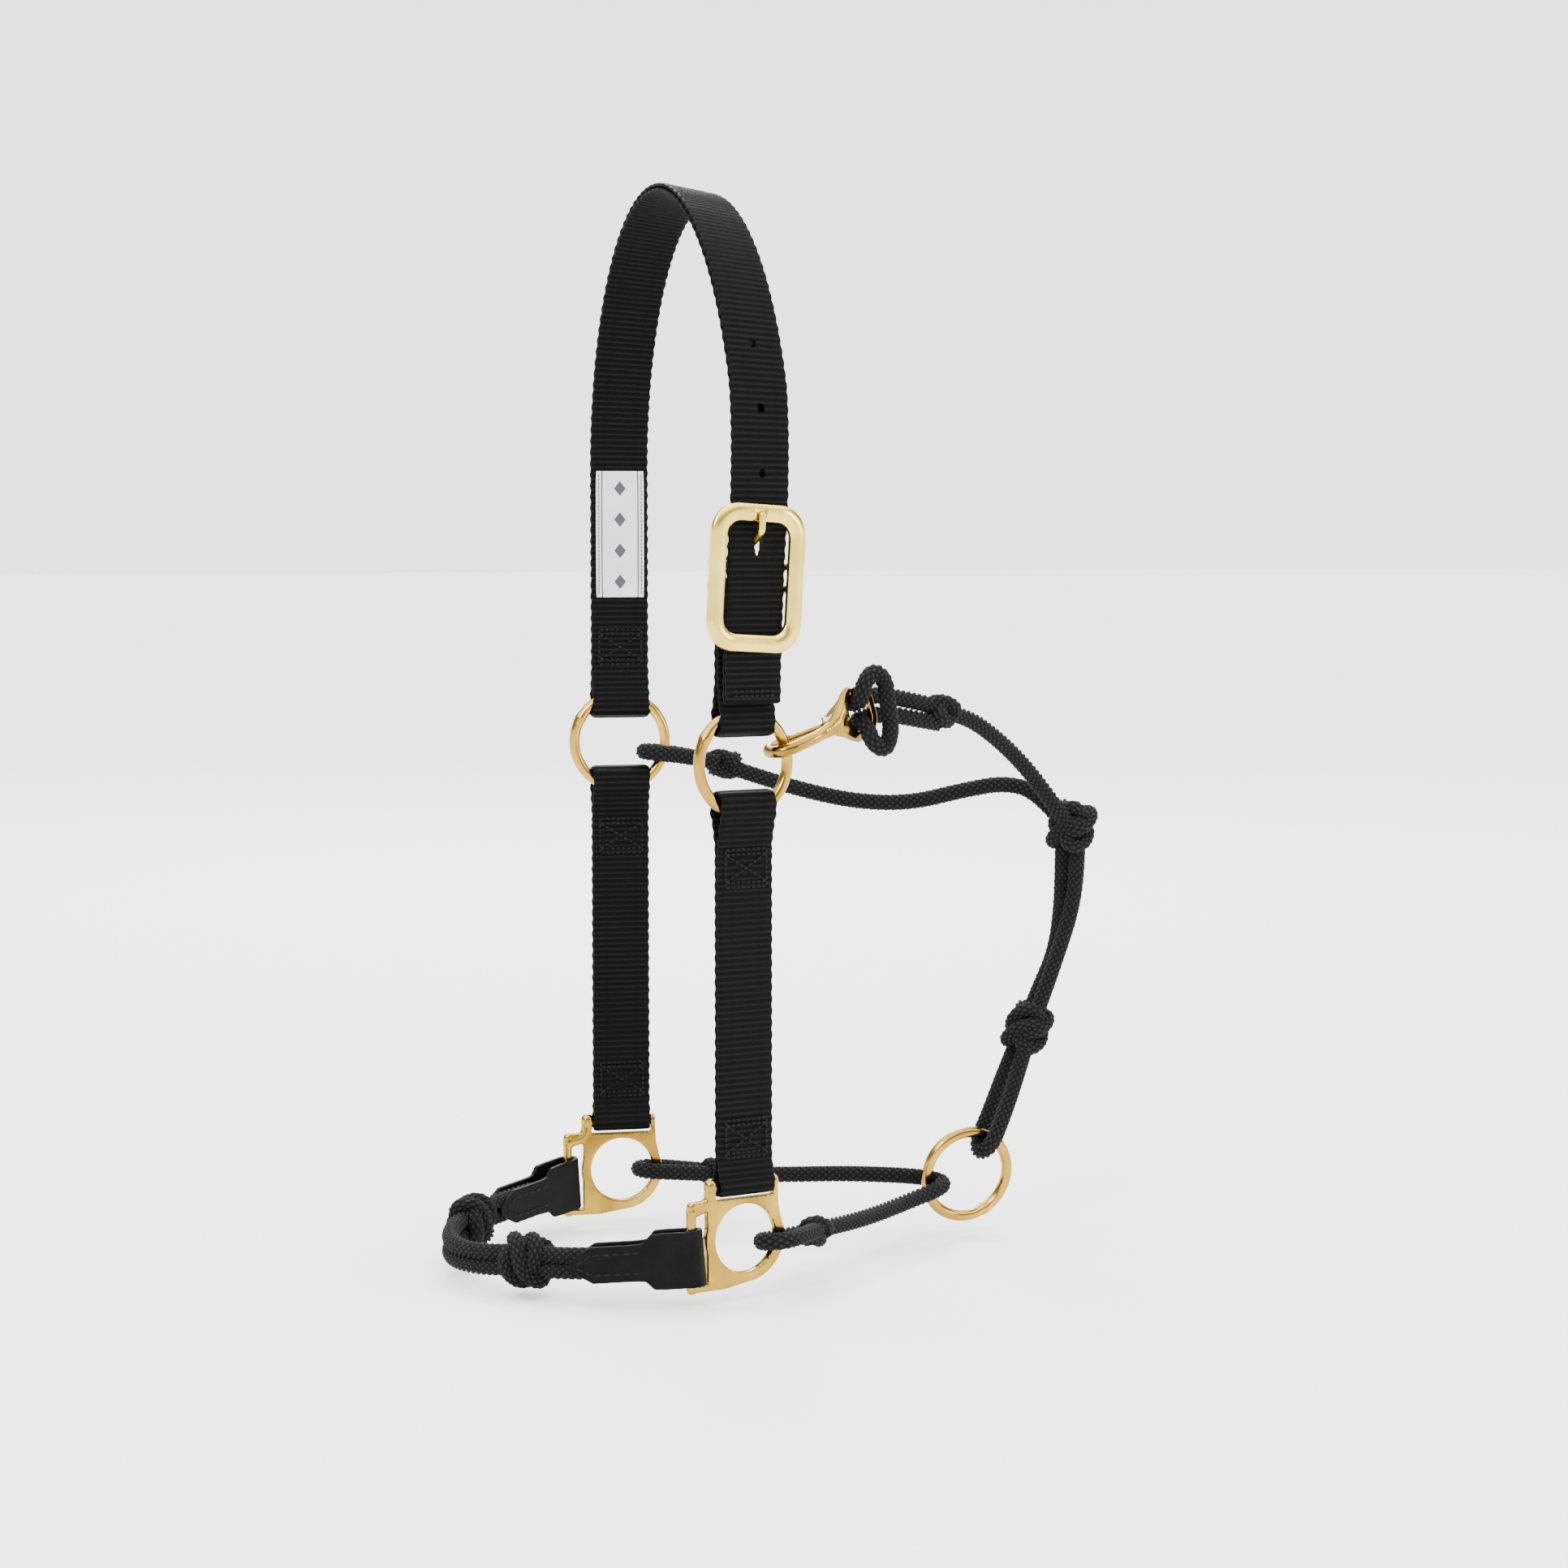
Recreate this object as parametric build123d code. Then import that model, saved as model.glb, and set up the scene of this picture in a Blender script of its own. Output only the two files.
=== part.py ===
from build123d import *
import os
from math import atan2, cos, degrees, pi, radians, sin, sqrt, tan

os.makedirs("parts", exist_ok=True)

# Halter of nylon webbing and braided rope, at the size of an average horse.
# Origin: underside of the crown strap at its highest point, where it rests on the poll.
# +Z up, -X towards the nose, +X towards the throat, -Y the near (left) side, +Y the off side.
# Each side hangs in a plane of its own, and the two planes close towards the throat.

# ---- driving dimensions, mm and degrees ----
SIDE_Y = 76.0            # centre of the head space to each side plane
SIDE_YAW = 9.0           # how far each side plane turns towards the other
WEB_WIDTH = 25.4         # nylon webbing
PLY = 1.9                # one layer of webbing
LOOP_GAP = 0.35          # room between a webbing loop and the metal in it
CROWN_SHOULDER_Z = -110.0  # where the crown's arms begin to curve over the head
RING_Z = -228.0          # centre of the two cheek rings
RING_R = 20.1            # cheek ring, centre of the wire
RING_WIRE_R = 2.3
CHEEK_SWAY_ROOM = 1.0    # extra half width of a cheek's upper loop, so that it can swing on its ring
DEE_BAR_Z = -396.0       # bar of the dee that carries the cheek strap
DEE_BAR_R = 2.2
DEE_EYE_Z = -417.6       # round eye of the dee
DEE_EYE_R = 13.8
DEE_RIM = 4.2
DEE_T = 3.6              # thickness of the dee's plate
SIDE_BAR_X = -24.1       # upright bar of the dee that carries the leather tab
SIDE_BAR_R = 2.0
TAB_Z = -423.2           # middle of the leather tab on its bar
TAB_HEIGHT = 22.5
TAB_TONGUE_HEIGHT = 16.5
TAB_LENGTH = 50.0        # bar centre to tip
TAB_SHOULDER = 15.0      # bar centre to where the tab narrows
TAB_TURN = 39.0          # how far the tab turns in from the dee's plane
TAB_DROOP = 5.0
LEATHER = 2.1
ROPE_R = 3.175           # 1/4 inch braided rope
ROPE_FIT = 0.15          # room between a knot and the rope that leaves it
TIE_RING_POS = (133.0, 0.0, -416.0)
TIE_RING_R = 19.2
TIE_RING_WIRE_R = 2.35
TIE_RING_LEAN = 9.0
BUCKLE_TOP_Z = -126.0
BUCKLE_HEIGHT = 58.0
BUCKLE_WIDTH = 42.4
BUCKLE_BAND = 7.0        # width of the buckle's face
BUCKLE_T = 3.0
BUCKLE_CORNER_R = 12.0
TONGUE_BAR_Z = -150.0    # upper cross bar, which carries the tongue
CHAPE_BAR_Z = -158.6     # lower cross bar, which carries the chape
CROSS_BAR_R = 1.8
TONGUE_R = 1.5
CROWN_TAIL_Z = -204.0    # end of the crown's tail
HOLE_PITCH = 25.4        # between holes in the crown's near arm
HOLE_R = 2.0
TONGUE_SLOT = 11.2       # length of the hole that the tongue has drawn out
LABEL_LENGTH = 56.0
LABEL_WIDTH = 21.5
LABEL_T = 0.6
LABEL_TOP_Z = -109.5
THREAD = 0.8             # width of a stitched row
THREAD_RISE = 0.35       # how far a stitched row stands off the webbing
SNAP_LENGTH = 44.0       # ring wire to the middle of the snap's eye
SNAP_POS = (17.9, -73.0, -222.0)  # where the snap's hook bears on the near ring
SNAP_YAW = 15.0
SNAP_PITCH = 18.4
SNAP_WIRE_R = 2.5
HOOK_R = 6.5             # hook's centre line
GATE_R = 1.5
PIN_R = 0.9
PIN_FIT = 0.05

# ---- what follows from them ----
STRAP_T = 2 * PLY
CHAPE_LOOP_R = RING_WIRE_R + LOOP_GAP + PLY
CROWN_OUT = CHAPE_LOOP_R + LOOP_GAP + PLY     # near arm's middle, out from the side plane
NEAR_X = -CROWN_OUT * sin(radians(SIDE_YAW))  # keeps the crown's near arm over X = 0
HALF_WEB = WEB_WIDTH / 2
RING_REACH = sqrt((RING_R - RING_WIRE_R) ** 2 - HALF_WEB ** 2)  # ring's inside at the webbing's edge


def near(shape):
    """Puts a shape drawn in its side plane (outside is -Y) on the near side."""
    return Pos(NEAR_X, -SIDE_Y, 0) * Rot(0, 0, SIDE_YAW) * shape


def off(shape):
    """The same shape mirrored on to the off side."""
    return Pos(0, SIDE_Y, 0) * Rot(0, 0, -SIDE_YAW) * mirror(shape, Plane.XZ)


def write(name, shape):
    """Writes one node as STEP, as one solid or a group of them."""
    solids = shape.solids()
    body = solids[0] if len(solids) == 1 else Compound(children=list(solids))
    body.label = name
    export_step(body, f"parts/{name}.step")


# ---- cords: straight runs joined by arcs that are as large as the runs allow ----
def cord_path(points, name):
    vectors = [Vector(*p) for p in points]
    runs = [b - a for a, b in zip(vectors, vectors[1:])]
    radii = []
    for before, after in zip(runs, runs[1:]):
        turn = before.get_angle(after)
        shorter = min(before.length, after.length)
        radii.append(0.45 * shorter / tan(radians(turn / 2)))
    print(f"{name}: radii {[round(r, 1) for r in radii]}")
    return FilletPolyline(*vectors, radius=radii)


def tube(path, radius):
    start = Plane(origin=path @ 0, z_dir=path % 0)
    return sweep(start * Circle(radius), path=path)


def cord(name, points):
    path = cord_path(points, name)
    solid = tube(path, ROPE_R)
    print(f"{name}: length {path.length:.1f}, volume {solid.volume / (pi * ROPE_R ** 2 * path.length):.4f} of a rod's")
    write(name, solid)
    return tube(path, ROPE_R + ROPE_FIT)


def knot(name, centre, size, passing, turn=(0, 0, 0)):
    """A rounded lump of the given half sizes, hollowed for the ropes that pass through it."""
    block = Box(*[2 * half for half in size])
    lump = Pos(*centre) * Rot(*turn) * fillet(block.edges(), min(size) * 0.6)
    hollow = lump.cut(*[solid for rope in passing for solid in rope.solids()])
    write(name, max(hollow.solids(), key=lambda s: s.volume))


# ---- webbing ----
def loop_shape(z_mid, half_length, radius):
    """Outline of a loop's hole or its outside, in the YZ plane."""
    if half_length <= 0:
        return Plane.YZ * Pos(0, z_mid) * Circle(radius)
    return Plane.YZ * Pos(0, z_mid) * SlotCenterToCenter(2 * half_length, 2 * radius, rotation=90)


def neck(z_loop, z_strap, radius):
    """The two layers closing from a loop down or up to the flat strap."""
    wide = radius * 0.94
    flat = STRAP_T / 2
    corners = [(-wide, z_loop), (wide, z_loop), (flat, z_strap), (-flat, z_strap)]
    return Plane.YZ * make_face(Polyline(*corners, close=True))


def strap(loops, z_from, z_to):
    """Two layers of webbing between z_from and z_to, with loops as (z, half length, hole radius, neck end)."""
    height = z_from - z_to
    outline = Plane.YZ * Pos(0, (z_from + z_to) / 2) * Rectangle(STRAP_T, height)
    for z_mid, half, hole, z_neck in loops:
        outline += loop_shape(z_mid, half, hole + PLY)
        outline += neck(z_mid, z_neck, hole + PLY)
    for z_mid, half, hole, z_neck in loops:
        outline -= loop_shape(z_mid, half, hole)
    return extrude(outline, amount=HALF_WEB, both=True)


RING_HOLE_FAR = RING_R + RING_WIRE_R + LOOP_GAP   # loop's hole, furthest from the ring's centre
RING_HOLE_NEAR = RING_REACH - 0.4                 # and nearest, clear of the wire at the webbing's edge
RING_HOLE_MID = (RING_HOLE_FAR + RING_HOLE_NEAR) / 2
RING_HOLE_HALF = (RING_HOLE_FAR - RING_HOLE_NEAR) / 2
FIXED_HOLE_R = RING_WIRE_R + LOOP_GAP
SWAY_HOLE_R = FIXED_HOLE_R + CHEEK_SWAY_ROOM
DEE_HOLE_R = DEE_BAR_R + LOOP_GAP + 0.15
NECK = 10.0

upper_loop_z = RING_Z + RING_HOLE_MID
lower_loop_z = RING_Z - RING_HOLE_MID
print(f"cheek hinge z {lower_loop_z:.2f}, dee bar z {DEE_BAR_Z}")

cheek = strap(
    [
        (lower_loop_z, RING_HOLE_HALF - SWAY_HOLE_R, SWAY_HOLE_R, lower_loop_z - RING_HOLE_HALF - NECK),
        (DEE_BAR_Z, 0, DEE_HOLE_R, DEE_BAR_Z + NECK),
    ],
    lower_loop_z,
    DEE_BAR_Z,
)
write("near_cheek_strap", near(cheek))
write("off_cheek_strap", off(cheek))

CHAPE_BAR_HOLE_R = CROSS_BAR_R + LOOP_GAP
chape = strap(
    [
        (upper_loop_z, RING_HOLE_HALF - FIXED_HOLE_R, FIXED_HOLE_R, upper_loop_z + RING_HOLE_HALF + NECK),
        (CHAPE_BAR_Z, 0, CHAPE_BAR_HOLE_R, CHAPE_BAR_Z - NECK),
    ],
    CHAPE_BAR_Z,
    upper_loop_z,
)
write("near_chape", near(chape))

# Crown: one flat strap that leans by the sides' yaw all the way over the head.
near_arm_y = -SIDE_Y - CROWN_OUT * cos(radians(SIDE_YAW))
arch_half = (SIDE_Y - near_arm_y) / 2
arch_mid_y = (SIDE_Y + near_arm_y) / 2
arch_rise = -CROWN_SHOULDER_Z + STRAP_T / 2
off_arm_end_z = upper_loop_z + RING_HOLE_HALF + NECK


def crown_section(y, yaw):
    """The strap's section at the foot of the arch, turned by yaw about +Z."""
    place = Plane(origin=(0, y, CROWN_SHOULDER_Z), x_dir=(cos(radians(yaw)), sin(radians(yaw)), 0), z_dir=(0, 0, 1))
    return place * Rectangle(WEB_WIDTH, STRAP_T)


arch_plane = Plane(origin=(0, arch_mid_y, CROWN_SHOULDER_Z), x_dir=(0, 1, 0), z_dir=(1, 0, 0))
arch_path = arch_plane * EllipticalCenterArc((0, 0), arch_half, arch_rise, start_angle=0, arc_size=180)
arch = sweep(crown_section(SIDE_Y, -SIDE_YAW), path=arch_path)
near_arm = extrude(crown_section(near_arm_y, SIDE_YAW), amount=CROWN_TAIL_Z - CROWN_SHOULDER_Z)
off_arm = extrude(crown_section(SIDE_Y, -SIDE_YAW), amount=off_arm_end_z - CROWN_SHOULDER_Z)
ring_end = strap(
    [(upper_loop_z, RING_HOLE_HALF - FIXED_HOLE_R, FIXED_HOLE_R, off_arm_end_z)],
    off_arm_end_z,
    upper_loop_z,
)
tongue_hole_z = TONGUE_BAR_Z + 10.4   # where the tongue comes out of the crown
crown = near_arm + arch + off_arm + off(ring_end)
for step in range(5):
    long = TONGUE_SLOT if step == 0 else 2 * HOLE_R + 1.0
    z = tongue_hole_z + HOLE_PITCH * step - (3.1 if step == 0 else 0)
    hole = Plane.XZ * Pos(0, z) * SlotOverall(long, 2 * HOLE_R, rotation=90)
    crown = crown - near(Pos(0, -CROWN_OUT, 0) * extrude(hole, amount=2 * STRAP_T, both=True))
write("crown_strap", crown)

label_z = LABEL_TOP_Z - LABEL_LENGTH / 2
label = Pos(0, STRAP_T / 2 + LABEL_T / 2, label_z) * Box(LABEL_WIDTH, LABEL_T, LABEL_LENGTH)
write("label", off(label))


# ---- rings ----
def wire_ring(radius, wire):
    return Rot(90, 0, 0) * Torus(radius, wire)


cheek_ring = Pos(0, 0, RING_Z) * wire_ring(RING_R, RING_WIRE_R)
write("near_ring", near(cheek_ring))
write("off_ring", off(cheek_ring))
tie_ring = Pos(*TIE_RING_POS) * Rot(TIE_RING_LEAN, 0, 0) * wire_ring(TIE_RING_R, TIE_RING_WIRE_R)
write("tie_ring", tie_ring)

# ---- dees: a cast plate with a round eye, a bar for the cheek strap and an upright bar for the tab ----
dee_outer_r = DEE_EYE_R + DEE_RIM
dee_top = DEE_BAR_Z - DEE_HOLE_R - PLY - 0.6
dee_half = HALF_WEB + 4.6
post = 3.8
foot_top = TAB_Z - TAB_HEIGHT / 2 - 0.4
foot_bottom = foot_top - 2.6


def plate_box(x0, x1, z0, z1):
    """A rectangle in the XZ plane."""
    return Plane.XZ * Pos((x0 + x1) / 2, (z0 + z1) / 2) * Rectangle(x1 - x0, z1 - z0)


def plate_disc(x, z, radius):
    return Plane.XZ * Pos(x, z) * Circle(radius)


plate = plate_disc(0, DEE_EYE_Z, dee_outer_r)
plate -= plate_box(-dee_half, dee_half, dee_top, DEE_BAR_Z + post)
plate += plate_box(-dee_half, dee_half, DEE_EYE_Z, dee_top)
plate += plate_box(-dee_half, 0, foot_top, DEE_EYE_Z)
foot = [
    (SIDE_BAR_X, foot_top), (SIDE_BAR_X, foot_bottom), (-10.0, foot_bottom), (2.5, DEE_EYE_Z - dee_outer_r * 0.985),
    (0.0, foot_top),
]
plate += Plane.XZ * make_face(Polyline(*foot, close=True))
plate += plate_box(-dee_half, -dee_half + post, dee_top, DEE_BAR_Z)
plate += plate_box(dee_half - post, dee_half, dee_top, DEE_BAR_Z)
plate += plate_box(SIDE_BAR_X, -dee_half + post, dee_top - 3.6, dee_top)
plate -= plate_disc(0, DEE_EYE_Z, DEE_EYE_R)
dee = extrude(plate, amount=DEE_T / 2, both=True)
for x in (-dee_half + post / 2, dee_half - post / 2):
    dee += Pos(x, 0, DEE_BAR_Z) * Rot(0, 90, 0) * Cylinder(DEE_BAR_R + 0.3, post)
dee += Pos(0, 0, DEE_BAR_Z) * Rot(0, 90, 0) * Cylinder(DEE_BAR_R, 2 * dee_half - post)
bar_top = dee_top - 1.8
bar_bottom = (foot_top + foot_bottom) / 2
dee += Pos(SIDE_BAR_X, 0, (bar_top + bar_bottom) / 2) * Cylinder(SIDE_BAR_R, bar_top - bar_bottom)
for z in (bar_top, bar_bottom):
    dee += Pos(SIDE_BAR_X, 0, z) * Sphere(SIDE_BAR_R)
write("near_dee", near(dee))
write("off_dee", off(dee))

# ---- leather tabs: folded round the side bar, with the nose ropes between the two layers ----
TAB_GAP = 2 * ROPE_R + 0.1
tab_out = TAB_GAP / 2 + LEATHER


def tab_plan(half):
    """The fold seen from above: round at the bar, straight out to the tip along -X."""
    return Pos(-TAB_LENGTH / 2, 0) * Rectangle(TAB_LENGTH, 2 * half) + Circle(half)


fold = extrude(tab_plan(tab_out) - tab_plan(TAB_GAP / 2), amount=TAB_HEIGHT, both=True)
fold -= Pos(-TAB_LENGTH, 0, 0) * Box(2 * LEATHER, TAB_GAP, 3 * TAB_HEIGHT)
half_wide = TAB_HEIGHT / 2
half_tongue = TAB_TONGUE_HEIGHT / 2
tip_start = -TAB_LENGTH + half_tongue * 1.3
outline = [
    (tab_out, -half_wide),
    (tab_out, half_wide),
    (-TAB_SHOULDER, half_wide),
    (-TAB_SHOULDER - 3, half_tongue),
    (tip_start, half_tongue),
    (-TAB_LENGTH + 1.5, 2.0),
    (-TAB_LENGTH + 1.5, -2.0),
    (tip_start, -half_tongue),
    (-TAB_SHOULDER - 3, -half_tongue),
    (-TAB_SHOULDER, -half_wide),
]
side_view = extrude(Plane.XZ * make_face(Polyline(*outline, close=True)), amount=20, both=True)
tab = fold & side_view


def tab_place(shape):
    return Pos(SIDE_BAR_X, 0, TAB_Z) * Rot(0, 0, -TAB_TURN) * Rot(0, -TAB_DROOP, 0) * shape


write("near_tab", near(tab_place(tab)))
write("off_tab", off(tab_place(tab)))

# ---- nose ropes: two ropes side by side from tab to tab, with a knot near each tab ----
NOSE_LIFT = ROPE_R + 0.1     # each nose rope's distance from the noseband's middle line
nose_route = [
    (-45.0, -68.2, -425.6), (-66.0, -56.0, -427.5), (-79.0, -36.5, -428.5), (-94.0, -18.0, -431.0),
    (-99.5, 3.0, -431.5), (-94.0, 23.0, -429.5), (-80.5, 39.0, -427.5), (-66.0, 55.5, -427.0), (-45.0, 67.8, -425.6),
]
nose_upper = [(x, y, z + NOSE_LIFT) for x, y, z in nose_route]
nose_lower = [(x, y, z - NOSE_LIFT) for x, y, z in nose_route]
nose_ropes = [cord("nose_rope_upper", nose_upper), cord("nose_rope_lower", nose_lower)]
knot("near_nose_knot", (-79.0, -36.0, -428.6), (9.0, 9.5, 11.0), nose_ropes, (0, 0, -45))
knot("off_nose_knot", (-80.0, 39.0, -427.6), (9.0, 9.5, 11.0), nose_ropes, (0, 0, 45))

# ---- chin rope: looped through each dee, knotted, and run through the tie ring ----
chin_near_loop = [
    (34.0, -55.0, -421.5), (18.4, -63.4, -420.5), (8.0, -69.8, -420.0), (7.6, -78.4, -420.5), (15.4, -81.6, -421.0),
    (26.0, -73.4, -421.5), (37.2, -60.0, -421.8),
]
chin_off_loop = [
    (34.5, 54.8, -418.7), (18.4, 63.4, -418.4), (8.0, 69.8, -418.2), (7.8, 78.4, -418.4), (15.6, 81.4, -418.6),
    (26.0, 73.2, -418.8), (37.8, 59.8, -418.7),
]
chin_route = [
    (42.0, 53.5, -419.0), (60.0, 41.5, -418.6), (83.0, 25.0, -416.6), (104.0, 10.4, -416.2), (116.0, 6.9, -417.6),
    (121.6, 0.2, -418.8), (116.2, -6.9, -420.0), (103.0, -10.6, -422.8), (81.0, -25.2, -424.2), (58.5, -42.5, -423.4),
    (41.0, -54.0, -422.2),
]
near_loop = cord("chin_near_loop", chin_near_loop)
off_loop = cord("chin_off_loop", chin_off_loop)
chin = cord("chin_rope", chin_route)
knot("chin_near_knot", (37.8, -56.4, -422.2), (7.2, 6.3, 6.3), [near_loop, chin], (0, 0, 38))
knot("chin_off_knot", (38.0, 56.0, -418.8), (7.5, 6.0, 6.5), [off_loop, chin], (0, 0, -38))

# ---- throat rope: from the tie ring up to the upper knot, and from there to the snap and to the off ring ----
THROAT_KNOT = (183.0, 0.0, TIE_RING_POS[2] + lower_loop_z - DEE_BAR_Z)
LOWER_KNOT = (162.0, 0.0, -353.4)
throat_loop = [
    (161.0, 3.6, -354.6), (152.5, 4.8, -375.0), (145.6, 4.4, -391.0), (140.2, 4.2, -402.0), (137.6, -2.8, -407.0),
    (140.4, -9.8, -402.2), (146.0, -8.6, -391.0), (153.5, -6.2, -375.0), (161.5, -3.6, -354.6),
]
throat_front = [
    (162.5, -3.5, -352.2), (168.2, -3.9, -337.5), (174.8, -3.4, -321.0), (181.6, -3.0, -303.0), (186.2, -2.0, -285.0),
    (185.9, -1.6, -267.8),
]
throat_back = [
    (162.3, 3.5, -352.2), (169.2, 3.9, -337.5), (177.0, 3.3, -321.0), (180.0, 3.6, -302.0), (179.8, 4.4, -285.0),
    (180.4, 3.7, -267.8),
]
near_branch = [
    (104.5, -39.2, -212.0), (116.0, -33.8, -213.8), (134.0, -24.5, -223.5), (150.0, -16.8, -235.0),
    (164.5, -9.4, -248.0), (178.5, -4.6, -263.5),
]
off_branch = [
    (46.0, 60.5, -239.6), (60.0, 54.8, -244.6), (78.0, 46.6, -250.4), (98.0, 37.5, -254.8), (119.0, 28.7, -255.2),
    (140.0, 19.2, -249.4), (157.0, 12.4, -246.2), (170.0, 7.6, -250.4), (179.5, 4.2, -262.5),
]
off_ring_loop = [
    (40.5, 59.5, -237.6), (27.6, 65.0, -234.6), (12.4, 68.2, -233.0), (9.8, 76.6, -232.6), (17.8, 81.0, -233.0),
    (29.6, 74.4, -234.6), (44.0, 63.6, -238.0),
]
lower_rope = cord("throat_loop", throat_loop)
front_rope = cord("throat_strand_front", throat_front)
back_rope = cord("throat_strand_back", throat_back)
near_rope = cord("throat_near_branch", near_branch)
off_rope = cord("throat_off_branch", off_branch)
ring_rope = cord("off_ring_loop", off_ring_loop)
knot("throat_lower_knot", LOWER_KNOT, (10.5, 9.5, 10.0), [lower_rope, front_rope, back_rope], (0, 20, 0))
knot("throat_upper_knot", THROAT_KNOT, (11.0, 9.5, 10.5), [front_rope, back_rope, near_rope, off_rope])
knot("off_ring_knot", (43.8, 62.0, -238.2), (7.2, 6.3, 6.3), [ring_rope, off_rope], (0, 0, -22))


# ---- snap: hooks on the near ring; drawn with the ring's wire at the origin and its eye along +X ----
def snap_place(shape):
    return Pos(*SNAP_POS) * Rot(0, 0, SNAP_YAW) * Rot(0, -SNAP_PITCH, 0) * shape


EYE_HALF_WIDTH = 5.2
EYE_HALF_HEIGHT = 8.0
EYE_WIRE = 3.0
GATE_PIVOT = (28.0, 1.8)
NOSE_X = 2.5
hook_line = FilletPolyline(
    (NOSE_X, HOOK_R), (-HOOK_R, HOOK_R), (-HOOK_R, -HOOK_R), (10.0, -HOOK_R), (SNAP_LENGTH - 7.0, -0.6),
    radius=[HOOK_R * 0.98, HOOK_R * 0.98, 20.0],
)
snap_body = tube(hook_line, SNAP_WIRE_R)
snap_body += Pos(NOSE_X, HOOK_R, 0) * Sphere(SNAP_WIRE_R)
shoulder_plan = make_face(Polyline(
    (22, -6.2), (SNAP_LENGTH - 6, -2.0), (SNAP_LENGTH - 6, 2.0), (31, 4.0), (26, 4.4), (22, 0.0), close=True
))
shoulder_side = Plane.XZ * make_face(Polyline(
    (20, -2.4), (30, -4.0), (SNAP_LENGTH - 5, -EYE_HALF_HEIGHT - 1.0), (SNAP_LENGTH - 5, EYE_HALF_HEIGHT + 1.0),
    (30, 4.0), (20, 2.4), close=True
))
snap_body += extrude(shoulder_plan, amount=20, both=True) & extrude(shoulder_side, amount=20, both=True)
eye_outer = Plane.XZ * Pos(SNAP_LENGTH, 0) * RectangleRounded(
    2 * (EYE_HALF_WIDTH + EYE_WIRE), 2 * (EYE_HALF_HEIGHT + EYE_WIRE), EYE_HALF_WIDTH + EYE_WIRE - 0.1
)
eye_hole = Plane.XZ * Pos(SNAP_LENGTH, 0) * RectangleRounded(
    2 * EYE_HALF_WIDTH, 2 * EYE_HALF_HEIGHT, EYE_HALF_WIDTH - 0.1
)
snap_body += extrude(eye_outer, amount=EYE_WIRE / 2, both=True)
snap_body -= extrude(eye_hole, amount=20, both=True)
GATE_SLOT = 1.6      # half width of the slot that the gate turns in
slot_cut = Pos(GATE_PIVOT[0] - 4.0, GATE_PIVOT[1] + 1.9, 0) * Box(14.0, 9.2, 2 * GATE_SLOT)
snap_body -= slot_cut
snap_body -= Pos(*GATE_PIVOT, 0) * Cylinder(PIN_R, 12)
write("snap_body", snap_place(max(snap_body.solids(), key=lambda s: s.volume)))
pin = Pos(*GATE_PIVOT, 0) * Cylinder(PIN_R, 7.4)
write("gate_pin", snap_place(pin))
gate_end = (NOSE_X + SNAP_WIRE_R + 2.0, HOOK_R - 0.6)
gate_run = Vector(GATE_PIVOT[0] - gate_end[0], GATE_PIVOT[1] - gate_end[1])
gate_plane = Plane(origin=(*gate_end, 0), x_dir=(0, 0, 1), z_dir=gate_run)
gate = gate_plane * extrude(Circle(GATE_R), amount=gate_run.length - PIN_R - 0.4)
gate += gate_plane * Sphere(2.0)
gate += Pos(*GATE_PIVOT, -0.4) * (Cylinder(2.4, 1.9) - Cylinder(PIN_R + PIN_FIT, 1.9))
gate -= Pos(*GATE_PIVOT, 1.05) * Cylinder(2.9, 1.0)
write("snap_gate", snap_place(gate))
spring = Pos(*GATE_PIVOT, 1.1) * (Cylinder(2.0, 0.7) - Cylinder(PIN_R + 0.2, 0.7))
write("gate_spring", snap_place(spring))

# Hitch: the rope goes through the snap's eye, round both rims and back, then doubled to a small knot.
hitch_local = [
    (86.0, 9.4, -15.0), (74.0, 8.2, -7.6), (62.5, 7.0, 0.4), (51.0, 7.0, 4.2), (43.2, 2.6, 3.9), (43.0, -4.8, 4.8),
    (43.6, -7.6, 12.0), (50.4, -7.8, 16.2), (56.4, -7.4, 10.0), (55.4, -6.8, 0.0), (54.4, -7.4, -10.0),
    (48.4, -7.8, -17.2), (42.2, -7.6, -12.0), (43.0, -4.8, -4.8), (43.2, 2.6, -3.9), (51.2, 7.2, -5.0),
    (62.0, 6.6, -7.4), (73.0, 7.4, -15.0), (84.0, 9.0, -21.6),
]
hitch_path = cord_path(hitch_local, "snap_hitch")
hitch = tube(hitch_path, ROPE_R)
print(f"snap_hitch: length {hitch_path.length:.1f}")
write("snap_hitch", snap_place(hitch))
snap_rope = snap_place(tube(hitch_path, ROPE_R + ROPE_FIT))
knot("near_branch_knot", (101.5, -40.6, -211.2), (7.5, 6.0, 7.0), [near_rope, snap_rope], (0, 0, 22))

# ---- buckle: a flat frame in front of the crown, with two cross bars behind it ----
frame_back_y = -CROWN_OUT - STRAP_T / 2 - LOOP_GAP
frame_mid_z = BUCKLE_TOP_Z - BUCKLE_HEIGHT / 2
frame_face = Plane.XZ * Pos(0, frame_mid_z) * RectangleRounded(BUCKLE_WIDTH, BUCKLE_HEIGHT, BUCKLE_CORNER_R)
window_half = BUCKLE_WIDTH / 2 - BUCKLE_BAND
frame_face -= Plane.XZ * Pos(0, frame_mid_z) * RectangleRounded(
    2 * window_half, BUCKLE_HEIGHT - 2 * BUCKLE_BAND, BUCKLE_CORNER_R - BUCKLE_BAND + 1
)
frame = Pos(0, frame_back_y, 0) * extrude(frame_face, amount=BUCKLE_T)
arm_x = window_half + 1.6
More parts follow.
